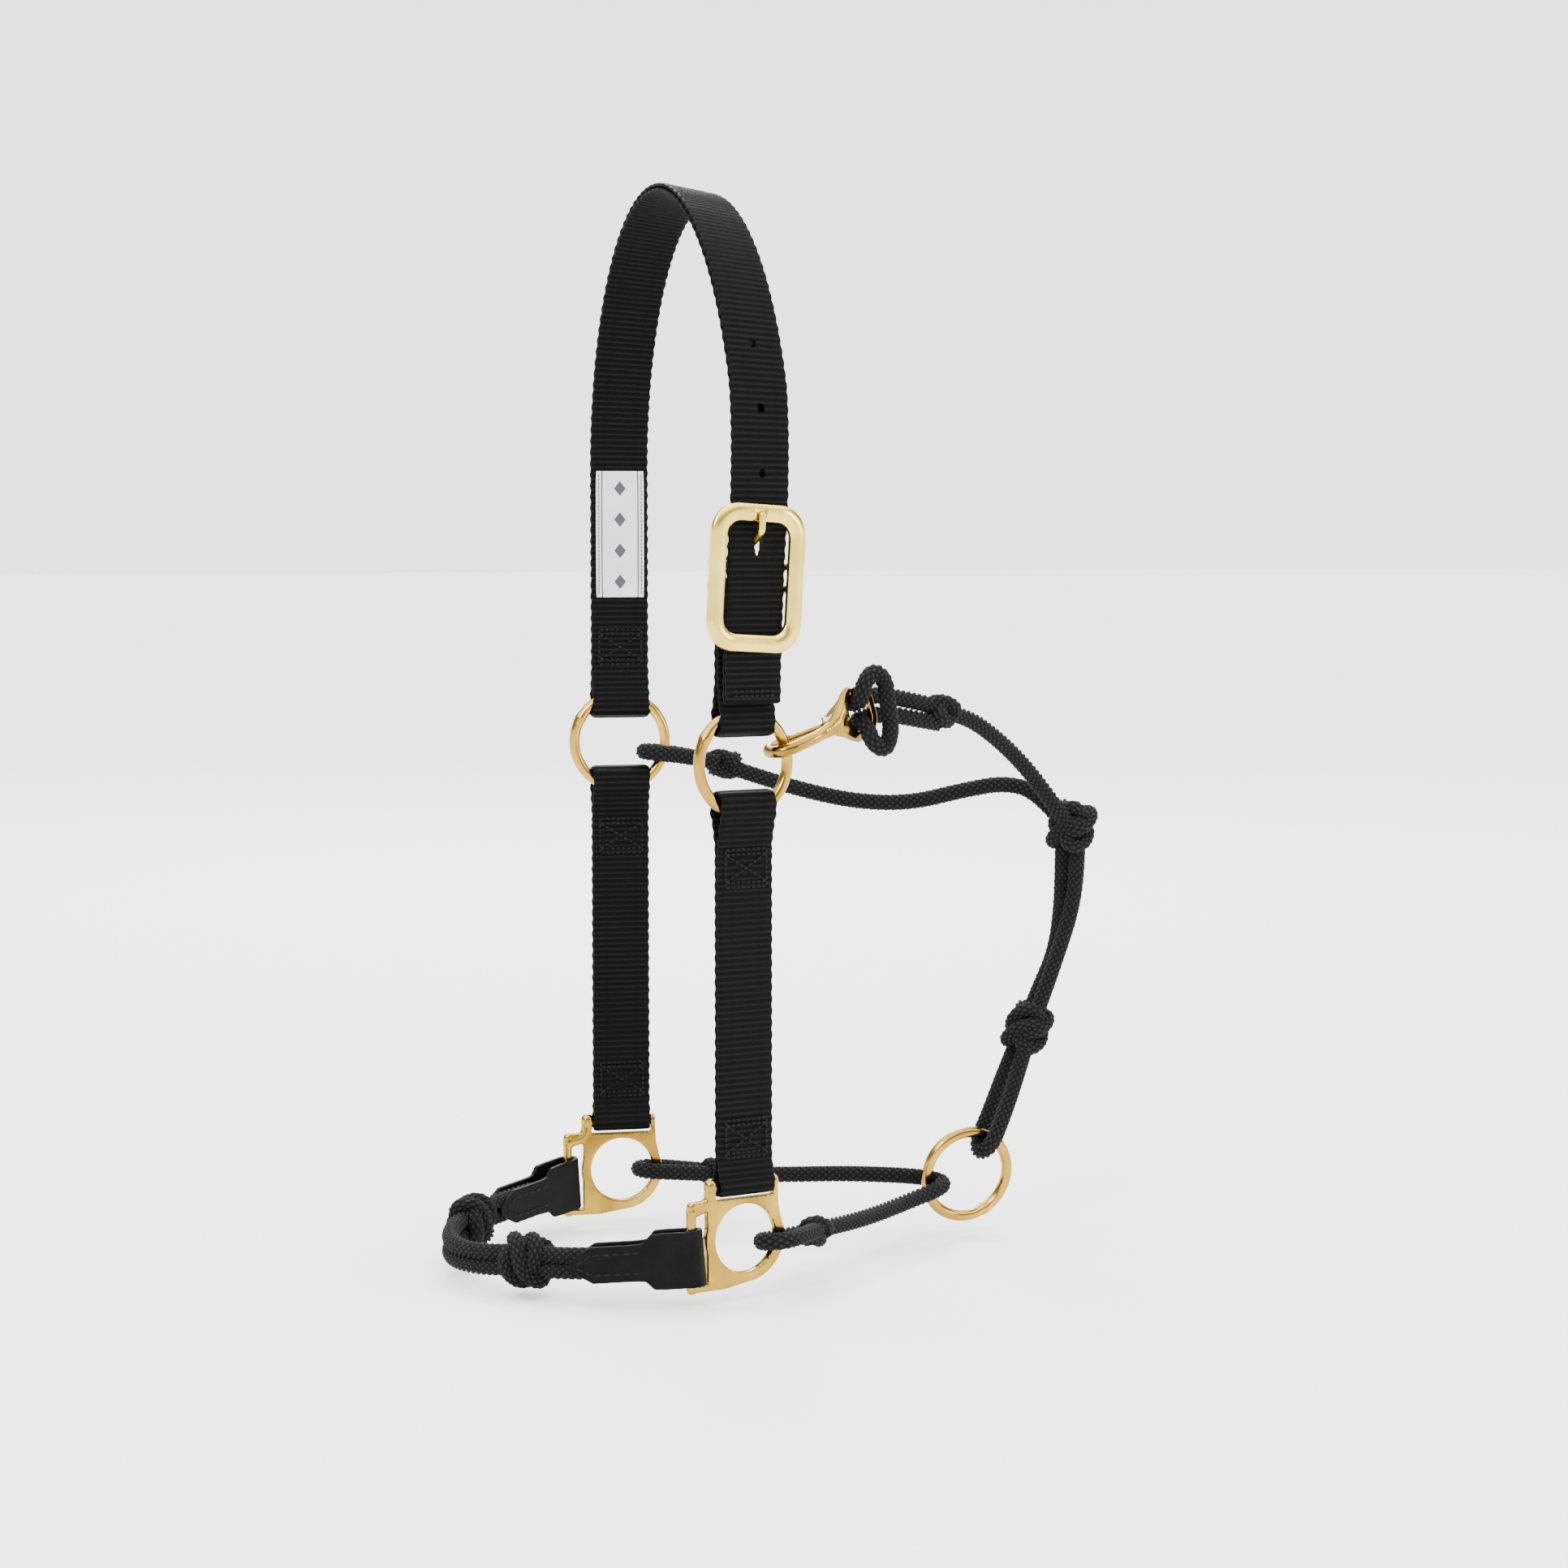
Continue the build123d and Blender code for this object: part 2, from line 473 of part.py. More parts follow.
for z in (TONGUE_BAR_Z, CHAPE_BAR_Z):
    frame += Pos(0, 0, z) * Rot(0, 90, 0) * Cylinder(CROSS_BAR_R, 2 * arm_x)
    for x in (-arm_x, arm_x):
        arm_length = -frame_back_y + 0.5
        frame += Pos(x, -arm_length / 2, z) * Rot(90, 0, 0) * Cylinder(CROSS_BAR_R, arm_length)
        frame += Pos(x, 0, z) * Sphere(CROSS_BAR_R)
TONGUE_REST = 1.2        # depth of the notch that the tongue's tip rests in
notch_z = BUCKLE_TOP_Z - BUCKLE_BAND
frame -= Pos(0, frame_back_y - BUCKLE_T, notch_z + 2.0) * Box(2 * TONGUE_R + 1.0, 2 * TONGUE_REST, BUCKLE_BAND)
write("buckle_frame", near(frame))

# ---- tongue: hooked round the upper cross bar, out through a hole, its tip in the frame's notch ----
tip_y = frame_back_y - BUCKLE_T + TONGUE_REST - TONGUE_R - 0.1
eye_r = CROSS_BAR_R + PIN_FIT
tongue_eye = Pos(0, 0, TONGUE_BAR_Z) * Rot(0, 90, 0) * (Cylinder(eye_r + 1.7, 4.4) - Cylinder(eye_r, 4.4))
tongue_back_y = -CROWN_OUT + STRAP_T / 2 + TONGUE_R + 0.15
tongue_path = FilletPolyline(
    (0, tongue_back_y, TONGUE_BAR_Z), (0, tongue_back_y, tongue_hole_z - 3.6), (0, tip_y, tongue_hole_z + 3.0),
    (0, tip_y, notch_z + 2.6),
    radius=2.0,
)
tongue = tongue_eye + tube(tongue_path, TONGUE_R) + Pos(0, tip_y, notch_z + 2.6) * Sphere(TONGUE_R)
tongue -= Pos(0, 0, TONGUE_BAR_Z) * Rot(0, 90, 0) * Cylinder(eye_r, 12)
write("buckle_tongue", near(tongue))


# ---- stitching: rows of thread that stand on the webbing's, the label's and the leather's faces ----
def rows(lines, width=THREAD):
    """A flat pattern of stitched rows in the XZ plane, each line as (x0, z0, x1, z1)."""
    pattern = None
    for x0, z0, x1, z1 in lines:
        line = Line((x0, z0), (x1, z1))
        turn = degrees(atan2(z1 - z0, x1 - x0))
        bar = Pos((x0 + x1) / 2, (z0 + z1) / 2) * Rot(0, 0, turn) * Rectangle(line.length + width, width)
        pattern = bar if pattern is None else pattern + bar
    return Plane.XZ * pattern


def box_x(top, bottom, half):
    """The cross-in-a-box that fastens the ends of webbing."""
    return [
        (-half, top, half, top), (-half, bottom, half, bottom), (-half, top, -half, bottom),
        (half, top, half, bottom), (-half, top, half, bottom), (-half, bottom, half, top),
    ]


def on_faces(pattern, outer_y, inner_y):
    """The pattern on the outer face, which looks to -Y, and on the inner face."""
    outer = Pos(0, outer_y, 0) * extrude(pattern, amount=THREAD_RISE)
    inner = Pos(0, inner_y, 0) * extrude(pattern, amount=-THREAD_RISE)
    return Compound(children=[*outer.solids(), *inner.solids()])


half_stitch = HALF_WEB - 3.4
box_height = 15.0
cheek_top = lower_loop_z - RING_HOLE_HALF - NECK - 1.2
cheek_bottom = DEE_BAR_Z + NECK + 1.2
cheek_rows = rows(
    box_x(cheek_top, cheek_top - box_height, half_stitch) + box_x(cheek_bottom + box_height, cheek_bottom, half_stitch)
)
cheek_stitching = on_faces(cheek_rows, -STRAP_T / 2, STRAP_T / 2)
write("near_cheek_stitching", near(cheek_stitching))
write("off_cheek_stitching", off(cheek_stitching))
crown_box_z = off_arm_end_z + 1.2
crown_rows = rows(box_x(crown_box_z + box_height, crown_box_z, half_stitch))
crown_stitching = [*off(on_faces(crown_rows, -STRAP_T / 2, STRAP_T / 2)).solids()]
hem = rows([(-half_stitch, CROWN_TAIL_Z + 3.0, half_stitch, CROWN_TAIL_Z + 3.0)])
hem_faces = on_faces(hem, -CROWN_OUT - STRAP_T / 2, -CROWN_OUT + STRAP_T / 2)
crown_stitching += [*near(hem_faces).solids()]
write("crown_stitching", Compound(children=crown_stitching))
label_edge = LABEL_WIDTH / 2 - 1.4
label_rows = rows([
    (x, LABEL_TOP_Z - 1.6, x, LABEL_TOP_Z - LABEL_LENGTH + 1.6) for x in (-label_edge, label_edge)
], 0.5)
label_face = STRAP_T / 2 + LABEL_T
label_thread = Compound(children=[
    *(Pos(0, label_face, 0) * extrude(label_rows, amount=-THREAD_RISE)).solids()
])
write("label_stitching", off(label_thread))
row_z = half_tongue - 3.4
tab_rows = rows([
    (-TAB_SHOULDER - 3, row_z, tip_start, row_z), (-TAB_SHOULDER - 3, -row_z, tip_start, -row_z),
    (tip_start, row_z, -TAB_LENGTH + 5.0, 0), (tip_start, -row_z, -TAB_LENGTH + 5.0, 0),
])
tab_stitching = tab_place(on_faces(tab_rows, -tab_out, tab_out))
write("near_tab_stitching", near(tab_stitching))
write("off_tab_stitching", off(tab_stitching))
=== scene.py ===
import bmesh
import bpy
import numpy as np
from math import cos, hypot, pi, radians, sin, tau
from mathutils import Matrix, Vector


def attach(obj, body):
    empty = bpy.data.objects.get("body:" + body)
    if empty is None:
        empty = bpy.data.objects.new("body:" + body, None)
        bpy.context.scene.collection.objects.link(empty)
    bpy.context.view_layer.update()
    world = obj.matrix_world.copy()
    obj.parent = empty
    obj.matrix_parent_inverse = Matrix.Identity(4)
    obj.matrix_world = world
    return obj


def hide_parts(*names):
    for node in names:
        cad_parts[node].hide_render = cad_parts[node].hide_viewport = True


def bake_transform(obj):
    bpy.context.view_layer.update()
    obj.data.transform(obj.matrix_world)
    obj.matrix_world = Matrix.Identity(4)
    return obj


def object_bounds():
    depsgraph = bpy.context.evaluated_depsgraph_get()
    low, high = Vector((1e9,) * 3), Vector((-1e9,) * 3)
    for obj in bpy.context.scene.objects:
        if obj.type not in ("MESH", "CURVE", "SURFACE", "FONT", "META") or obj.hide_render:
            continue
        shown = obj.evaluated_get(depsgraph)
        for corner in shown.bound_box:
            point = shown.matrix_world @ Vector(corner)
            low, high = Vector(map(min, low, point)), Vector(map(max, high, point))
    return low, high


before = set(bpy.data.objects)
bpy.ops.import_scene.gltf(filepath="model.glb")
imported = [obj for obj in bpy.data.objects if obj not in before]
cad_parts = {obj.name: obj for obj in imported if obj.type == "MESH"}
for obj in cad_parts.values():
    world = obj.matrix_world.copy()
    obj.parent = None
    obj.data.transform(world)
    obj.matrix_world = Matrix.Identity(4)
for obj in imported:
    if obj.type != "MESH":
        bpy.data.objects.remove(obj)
cad_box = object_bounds()
bpy.ops.object.select_all(action="DESELECT")

# ---- Camera ----
# A long lens, a little above the noseband, looks at the near side from ahead.
# It stands far enough back to take in the whole halter, hung up as on a head.
camera_data = bpy.data.cameras.new("camera")
camera_data.lens = 73.8
camera_data.sensor_width = 36.0
camera = bpy.data.objects.new("camera", camera_data)
camera.location = (-0.4605, -1.2560, -0.141)
camera.rotation_euler = (radians(90 - 4.3), 0, radians(-22))
bpy.context.scene.collection.objects.link(camera)
bpy.context.scene.camera = camera


# ---- Ropes ----
# Quarter-inch braided nylon, black: the noseband, the chin rope and the throat.
# Eight strands turn each way round a core and pass over and under each other.
class Value:
    """One output of a material's nodes; arithmetic on it adds the Math nodes."""

    def __init__(self, tree, socket):
        self.tree, self.socket = tree, socket

    def math(self, operation, first, second=0.0):
        node = self.tree.nodes.new("ShaderNodeMath")
        node.operation = operation
        for entry, value in zip(node.inputs, (first, second)):
            if isinstance(value, Value):
                self.tree.links.new(value.socket, entry)
            else:
                entry.default_value = value
        return Value(self.tree, node.outputs[0])

    def __add__(self, other):
        return self.math("ADD", self, other)

    def __sub__(self, other):
        return self.math("SUBTRACT", self, other)

    def __rsub__(self, other):
        return self.math("SUBTRACT", other, self)

    def __mul__(self, other):
        return self.math("MULTIPLY", self, other)

    def __mod__(self, other):
        return self.math("FLOORED_MODULO", self, other)

    __radd__, __rmul__ = __add__, __mul__

    def floor(self):
        return self.math("FLOOR", self)

    def wave(self, turns=1.0):
        return self.math("SINE", self * (tau * turns))

    def size(self):
        return self.math("ABSOLUTE", self)

    def over(self, limit):
        return self.math("GREATER_THAN", self, limit)


class Finish:
    """A material: constants are set on its shader, and node() adds whatever makes it vary."""

    def __init__(self, name, **constants):
        self.material = bpy.data.materials.new(name)
        self.material.use_nodes = True
        self.tree = self.material.node_tree
        self.shader = self.tree.nodes["Principled BSDF"]
        for entry, value in constants.items():
            entry = entry.replace("_", " ").title().replace("Ior", "IOR")
            self.shader.inputs[entry].default_value = value

    def node(self, kind, settings=(), inputs=(), output=0):
        node = self.tree.nodes.new("ShaderNode" + kind)
        for setting, value in dict(settings).items():
            if setting == "stops":
                ramp = node.color_ramp
                while len(ramp.elements) < len(value):
                    ramp.elements.new(0.5)
                for element, (place, colour) in zip(ramp.elements, value):
                    element.position, element.color = place, (*colour, 1.0)
            else:
                setattr(node, setting, value)
        for entry, value in dict(inputs).items():
            if isinstance(value, Value):
                self.tree.links.new(value.socket, node.inputs[entry])
            else:
                node.inputs[entry].default_value = value
        return Value(self.tree, node.outputs[output])

    def varies(self, entry, value):
        self.tree.links.new(value.socket, self.shader.inputs[entry])

    def place(self):
        return self.node("TexCoord", output="Object")

    def grain(self, scale, detail=4.0, where=None):
        return self.node("TexNoise", inputs={
            "Vector": where or self.place(), "Scale": scale, "Detail": detail,
        })

    def shades(self, value, *stops):
        return self.node("ValToRGB", {"stops": stops}, {"Fac": value})

    def bumps(self, height, distance, strength):
        self.varies("Normal", self.node("Bump", inputs={
            "Height": height, "Distance": distance, "Strength": strength,
        }))

    def across_and_along(self):
        """The piece's own UV map: across and along."""
        parts = self.tree.nodes.new("ShaderNodeSeparateXYZ")
        self.tree.links.new(self.node("TexCoord", output="UV").socket, parts.inputs[0])
        return Value(self.tree, parts.outputs[0]), Value(self.tree, parts.outputs[1])

    def on(self, piece):
        piece.data.materials.clear()
        piece.data.materials.append(self.material)
        return piece


rope_finish = Finish("black_braid", specular_ior_level=0.13)
strand_around, strand_along = rope_finish.across_and_along()
right_lay, left_lay = strand_around + strand_along, strand_around - strand_along
left_on_top = (right_lay.floor() + left_lay.floor()) % 2.0
yarn = right_lay * (1 - left_on_top) + left_lay * left_on_top
relief = rope_finish.node("Attribute", {"attribute_name": "relief"}, output="Fac")
rope_wear = rope_finish.grain(90.0, 3.0)
# Painted light: the base colour follows the strands' height, lighter on their crests and darker in the gaps
# between them, a painted highlight and a painted shade; the grain adds random wear.
rope_finish.varies("Base Color", rope_finish.shades(
    relief * 0.75 + rope_wear * 0.25,
    (0.15, (0.0005, 0.0005, 0.0005)), (0.5, (0.0032, 0.0032, 0.0035)),
    (0.95, (0.0175, 0.0175, 0.0190)),
))
rope_finish.varies("Roughness", rope_wear * 0.25 + 0.48)
rope_finish.bumps(yarn.wave(4.0) * 0.5 + rope_wear * 0.4, 0.00022, 0.9)

MM = 0.001               # the shapes below are written in millimetres
STRANDS = 8              # each way round the rope
ROPE_R = 3.175
BRAID_PITCH = 3.1        # along the rope, for one strand's crossing
BRAID_DEPTH = 1.05       # from the gap between two strands to the top of one
STRAND_ENDS = 0.35       # how bluntly a strand dips where it goes under the next
ROPE_SIDES = 40
ROPE_STEP = 0.62
STEPS_PER_PITCH = 5


def linked(name, mesh):
    piece = bpy.data.objects.new(name, mesh)
    bpy.context.scene.collection.objects.link(piece)
    return piece


def faces_out(mesh):
    """Turns the faces outwards and shades them smooth."""
    shape = bmesh.new()
    shape.from_mesh(mesh)
    bmesh.ops.recalc_face_normals(shape, faces=shape.faces)
    shape.to_mesh(mesh)
    shape.free()
    mesh.shade_smooth()


def skin(name, rings, around, along, crest_light_values=None, closed=False):
    """A mesh of quads through rings of points in millimetres; its UV map is (around, along)."""
    count, sides = rings.shape[:2]
    last = count if closed else count - 1
    i, j = np.meshgrid(np.arange(last), np.arange(sides), indexing="ij")
    i, j = i.ravel(), j.ravel()
    up, right = (i + 1) % count, (j + 1) % sides
    quads = (i * sides + j, i * sides + right, up * sides + right, up * sides + j)
    faces = np.stack(quads, axis=1).tolist()
    around, along = np.asarray(around, float), np.asarray(along, float)
    u = np.stack([around[j], around[j + 1], around[j + 1], around[j]], axis=1)
    v = np.stack([along[i], along[i], along[i + 1], along[i + 1]], axis=1)
    uv = np.stack([u, v], axis=2).reshape(-1, 2)
    if not closed:
        faces += [list(range(sides))[::-1], list(range((count - 1) * sides, count * sides))]
        ends = np.concatenate([
            np.stack([around[:sides][::-1], np.full(sides, along[0])], axis=1),
            np.stack([around[:sides], np.full(sides, along[-1])], axis=1),
        ])
        uv = np.concatenate([uv, ends])
    mesh = bpy.data.meshes.new(name)
    mesh.from_pydata((rings.reshape(-1, 3) * MM).tolist(), [], faces)
    mesh.uv_layers.new(name="UVMap").data.foreach_set("uv", uv.ravel())
    # each point's strand height, which the braid's colour uses for its painted crest highlight and gap
    # shade
    if crest_light_values is not None:
        values = mesh.attributes.new("relief", "FLOAT", "POINT").data
        values.foreach_set("value", crest_light_values.ravel())
    mesh.update()
    faces_out(mesh)
    return linked(name, mesh)


def distances(points):
    """How far along the line each of its points lies."""
    return np.concatenate([[0], np.cumsum(np.linalg.norm(np.diff(points, axis=0), axis=1))])


def evenly(points, step, closed, multiple):
    """The line again, in a multiple of equal steps: its points and the distance along it."""
    points = np.asarray(points, float)
    if closed:
        points = np.concatenate([points, points[:1]])
    lengths = distances(points)
    count = max(multiple, round(lengths[-1] / step / multiple) * multiple)
    along = np.linspace(0, lengths[-1], count + 1)
    line = np.stack([np.interp(along, lengths, column) for column in points.T], axis=1)
    return (line[:-1] if closed else line), along


def lie_of_the_line(line, closed):
    """Two directions across the line that don't twist as it turns."""
    if closed:
        tangents = np.roll(line, -1, axis=0) - np.roll(line, 1, axis=0)
    else:
        tangents = np.gradient(line, axis=0)
    tangents /= np.linalg.norm(tangents, axis=1)[:, None]
    upright = abs(tangents[0][2]) >= 0.9
    side = np.cross(tangents[0], (1.0, 0.0, 0.0) if upright else (0.0, 0.0, 1.0))
    sides = []
    for tangent in tangents:
        side = side - tangent * side.dot(tangent)
        side = side / np.linalg.norm(side)
        sides.append(side)
    sides = np.array(sides)
    if closed:
        # share out the twist that is left where the line meets itself
        wanted = sides[0] - tangents[-1] * sides[0].dot(tangents[-1])
        twist = np.arctan2(np.cross(sides[-1], wanted).dot(tangents[-1]), sides[-1].dot(wanted))
        turn = np.linspace(0, twist, len(line))[:, None]
        sides = sides * np.cos(turn) + np.cross(tangents, sides) * np.sin(turn)
    return sides, np.cross(tangents, sides)


def braid(name, points, radius=ROPE_R, closed=False):
    """A braided rope's surface along a line of points in millimetres."""
    line, along = evenly(points, ROPE_STEP, closed, STEPS_PER_PITCH)
    side, other = lie_of_the_line(line, closed)
    strands_along = along / along[-1] * round(along[-1] / BRAID_PITCH)
    strands_around = np.linspace(0, STRANDS, ROPE_SIDES + 1)
    here = strands_along[:len(line), None]
    round_it = strands_around[None, :-1]
    right, left = round_it + here, round_it - here
    across_right, across_left = np.sin(pi * (right % 1)), np.sin(pi * (left % 1))
    right_on_top = (np.floor(right) + np.floor(left)) % 2 < 1
    heights = np.where(
        right_on_top, across_right * across_left ** STRAND_ENDS, across_left * across_right ** STRAND_ENDS,
    )
    distance = radius - 0.50 * BRAID_DEPTH + BRAID_DEPTH * heights
    angle = round_it * tau / STRANDS
    rings = line[:, None, :] + distance[..., None] * (
        np.cos(angle)[..., None] * side[:, None, :] + np.sin(angle)[..., None] * other[:, None, :]
    )
    return rope_finish.on(skin(name, rings, strands_around, strands_along, heights, closed))


def smooth_route(name, route):
    """The rope's centre line, a NURBS spline on the route's points, now in metres."""
    curve = bpy.data.curves.new(name + "_line", "CURVE")
    curve.dimensions = "3D"
    curve.resolution_u = 16
    spline = curve.splines.new("NURBS")
    spline.points.add(len(route) - 1)
    for point, place in zip(spline.points, route):
        point.co = (*(distance * MM for distance in place), 1.0)
    spline.order_u = 3
    spline.use_endpoint_u = True
    holder = linked(name + "_line", curve)
    bpy.context.view_layer.update()
    mesh = bpy.data.meshes.new_from_object(holder)
    points = [vertex.co.copy() for vertex in mesh.vertices]
    bpy.data.objects.remove(holder)
    bpy.data.meshes.remove(mesh)
    return points


def rope(name, node, route, body=None, bends=None):
    """One of the halter's ropes, from its route; it rides on a body, or, given bends, stays fixed in the
    scene.
    """
    line = smooth_route(name, route)
    piece = braid(name, [point / MM for point in line])
    if bends:
        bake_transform(piece)
    else:
        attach(piece, body)
    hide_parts(node)


def joined(pieces):
    """Makes the pieces one, the first of them, and leaves it selected."""
    bpy.ops.object.select_all(action="DESELECT")
    for piece in pieces:
        piece.select_set(True)
    bpy.context.view_layer.objects.active = pieces[0]
    if len(pieces) > 1:
        bpy.ops.object.join()
    return pieces[0]


def tied_knot(name, node, centre, half, dip, yaw, body, doubled=False, radius=3.0):
    """An overhand knot's turns, drawn up tight; doubled where two ropes are tied as one."""
    angles = np.linspace(0, 2 * tau, 240, endpoint=False)
    axes = np.array(Matrix.Rotation(radians(yaw), 3, "Z") @ Matrix.Rotation(radians(dip), 3, "Y"))
    depth = 1.0              # how far the turns go in and out as they cross
    wide, high = half[1] - radius - depth, half[2] - radius - depth
    apart = 2.9 if doubled else 0.0
    swing = half[0] - radius - apart
    turns = []
    for lay, shift in enumerate((-apart, apart) if doubled else (0.0,)):
        weave = 1.5 * (angles + 0.5 * lay)
        local = np.stack([
            shift + swing * np.sin(weave),
            (wide + depth * np.cos(weave)) * np.cos(angles),
            (high + depth * np.cos(weave)) * np.sin(angles),
        ], axis=1)
        turns.append(braid(f"{name}_{lay}", local @ axes.T + np.array(centre), radius, closed=True))
    piece = joined(turns)
    piece.name = name
    piece.select_set(False)
    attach(piece, body)
    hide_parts(node)
    return piece


# ---- Noseband ropes ----
# Two ropes lie one above the other, sewn into a leather tab at each end.
# A knot just ahead of each tab holds them together.
NOSE_LIFT = 3.0          # of each rope from the line between them
nose_route = [
    (-45.0, -68.2, -425.6), (-66.0, -56.0, -427.5), (-79.0, -36.5, -428.5), (-94.0, -18.0, -431.0),
    (-99.5, 3.0, -431.5), (-94.0, 23.0, -429.5), (-80.5, 39.0, -427.5), (-66.0, 55.5, -427.0),
    (-45.0, 67.8, -425.6),
]
upper_route = [(x, y, z + NOSE_LIFT) for x, y, z in nose_route]
lower_route = [(x, y, z - NOSE_LIFT) for x, y, z in nose_route]
near_nose_knot = tied_knot("near_nose_turns", "near_nose_knot", (-79.0, -36.0, -428.6),
                           (9.6, 9.6, 11.4), 0, -45, "noseband", doubled=True)
off_nose_knot = tied_knot("off_nose_turns", "off_nose_knot", (-80.0, 39.0, -427.6),
                          (9.6, 9.6, 11.4), 0, 45, "noseband", doubled=True)
rope("upper_nose_braid", "nose_rope_upper", upper_route, "noseband")
rope("lower_nose_braid", "nose_rope_lower", lower_route, "noseband")

# ---- Chin rope ----
# A loop through each dee's eye, each closed by a small knot.
# Between the knots the rope runs under the chin and turns back round the tie ring.
chin_near_route = [
    (34.0, -55.0, -422.8), (18.4, -63.4, -422.2), (8.0, -69.8, -421.2), (7.6, -78.4, -420.0),
    (15.4, -81.6, -419.2), (26.0, -73.4, -419.6), (37.2, -60.0, -421.2),
]
chin_off_route = [
    (34.5, 54.8, -418.7), (18.4, 63.4, -418.4), (8.0, 69.8, -418.2), (7.8, 78.4, -418.4),
    (15.6, 81.4, -418.6), (26.0, 73.2, -418.8), (37.8, 59.8, -418.7),
]
chin_route = [
    (42.0, 53.5, -419.0), (60.0, 41.5, -418.6), (83.0, 25.0, -416.6), (104.0, 10.4, -416.2),
    (116.8, 6.9, -417.6), (122.5, 0.2, -418.8), (117.0, -6.9, -420.0), (103.0, -10.6, -422.8),
    (81.0, -25.2, -424.2), (58.5, -42.5, -423.4), (41.0, -54.0, -422.2),
]
SMALL_KNOT_R = 2.9       # the rope draws in where a single strand is tied
chin_near_knot = tied_knot("near_chin_turns", "chin_near_knot", (37.8, -56.4, -422.2),
                           (7.6, 6.6, 6.6), 0, 38, "noseband", radius=SMALL_KNOT_R)
chin_off_knot = tied_knot("off_chin_turns", "chin_off_knot", (38.0, 56.0, -418.8),
                          (7.8, 6.5, 6.8), 0, -38, "noseband", radius=SMALL_KNOT_R)
rope("near_chin_loop_braid", "chin_near_loop", chin_near_route, "noseband")
rope("off_chin_loop_braid", "chin_off_loop", chin_off_route, "noseband")
rope("chin_braid", "chin_rope", chin_route, "noseband")

# ---- Throat ropes ----
# A doubled rope goes up from the tie ring through two knots. From the upper knot one end
# runs to the snap on the near side, the other to a loop on the off cheek ring.
throat_loop_route = [
    (161.0, 3.6, -354.6), (152.5, 4.8, -375.0), (145.6, 4.4, -391.0), (140.2, 4.2, -402.0),
    (137.6, -2.8, -407.0), (140.4, -9.8, -402.2), (146.0, -8.6, -391.0), (153.5, -6.2, -375.0),
    (161.5, -3.6, -354.6),
]
front_strand_route = [
    (162.5, -3.5, -352.2), (168.2, -3.9, -337.5), (174.8, -3.4, -321.0), (181.6, -3.0, -303.0),
    (184.6, -2.8, -285.0), (185.0, -2.4, -267.8),
]
back_strand_route = [
    (162.3, 3.5, -352.2), (169.2, 3.9, -337.5), (177.0, 3.3, -321.0), (180.0, 3.6, -302.0),
    (180.6, 3.8, -285.0), (180.8, 3.7, -267.8),
]
near_branch_route = [
    (104.5, -39.2, -212.0), (116.0, -33.8, -213.8), (134.0, -24.5, -223.5), (150.0, -16.8, -235.0),
    (164.5, -9.4, -248.0), (178.5, -4.6, -263.5),
]
off_branch_route = [
    (46.0, 60.5, -239.6), (60.0, 54.8, -244.6), (78.0, 46.6, -250.4), (98.0, 37.5, -254.8),
    (119.0, 28.7, -255.2), (140.0, 19.2, -249.4), (157.0, 12.4, -246.2), (170.0, 7.6, -250.4),
    (179.5, 4.2, -262.5),
]
off_ring_loop_route = [
    (40.5, 59.5, -237.6), (27.6, 65.0, -234.6), (12.4, 68.2, -233.0), (9.8, 76.6, -232.6),
    (17.8, 81.0, -233.0), (29.6, 74.4, -234.6), (44.0, 63.6, -238.0),
]
lower_knot = tied_knot("lower_throat_turns", "throat_lower_knot", (162.0, 0.0, -353.4),
                       (11.0, 9.6, 10.2), -66, 0, "throat", doubled=True)
upper_knot = tied_knot("upper_throat_turns", "throat_upper_knot", (183.0, 0.0, -265.4),
                       (11.0, 9.6, 10.6), -76, 0, "headpiece", doubled=True)
off_ring_knot = tied_knot("off_ring_turns", "off_ring_knot", (43.8, 62.0, -238.2),
                          (7.6, 6.6, 6.6), 0, -22, "headpiece", radius=SMALL_KNOT_R)
near_branch_knot = tied_knot("near_branch_turns", "near_branch_knot", (101.5, -40.6, -211.2),
                             (7.8, 6.5, 7.2), 0, 22, "headpiece", radius=SMALL_KNOT_R)
rope("throat_loop_braid", "throat_loop", throat_loop_route, "throat")
upper_bend = ("throat", "headpiece", (0.170, 0.0, -0.325), (0.183, 0.0, -0.272))
rope("front_throat_braid", "throat_strand_front", front_strand_route, bends=upper_bend)
rope("back_throat_braid", "throat_strand_back", back_strand_route, bends=upper_bend)
rope("near_branch_braid", "throat_near_branch", near_branch_route, "headpiece")
rope("off_branch_braid", "throat_off_branch", off_branch_route, "headpiece")
rope("off_ring_loop_braid", "off_ring_loop", off_ring_loop_route, "headpiece")

# ---- Snap's hitch ----
# The near branch's loop goes through the snap's eye, spreads over it and comes back through,
# then runs doubled to a small knot.
SNAP_PLACE = (
    Matrix.Translation((17.9, -73.0, -222.0))
    @ Matrix.Rotation(radians(15.0), 4, "Z") @ Matrix.Rotation(radians(-18.4), 4, "Y")
)
hitch_on_snap = [
    (86.0, 9.4, -15.0), (72.0, 8.2, -7.0), (58.0, 7.0, 0.4), (46.0, 7.0, 4.2), (38.2, 2.6, 3.9),
    (38.0, -4.8, 4.8), (39.4, -7.6, 12.0), (46.0, -7.8, 16.2), (51.0, -7.4, 10.0), (49.4, -6.8, 0.0),
    (47.8, -7.4, -10.0), (42.0, -7.8, -17.2), (36.6, -7.6, -12.0), (38.0, -4.8, -4.8), (38.2, 2.6, -3.9),
    (46.2, 7.2, -5.0), (57.5, 6.6, -7.4), (70.0, 7.4, -14.2), (84.0, 9.0, -21.6),
]
hitch_route = [SNAP_PLACE @ Vector(point) for point in hitch_on_snap]
snap_eye = SNAP_PLACE @ Vector((52.0, 6.0, 0.0)) * MM
rope("snap_hitch_braid", "snap_hitch", hitch_route,
     bends=("snap", "headpiece", tuple(snap_eye), (0.098, -0.042, -0.212)))

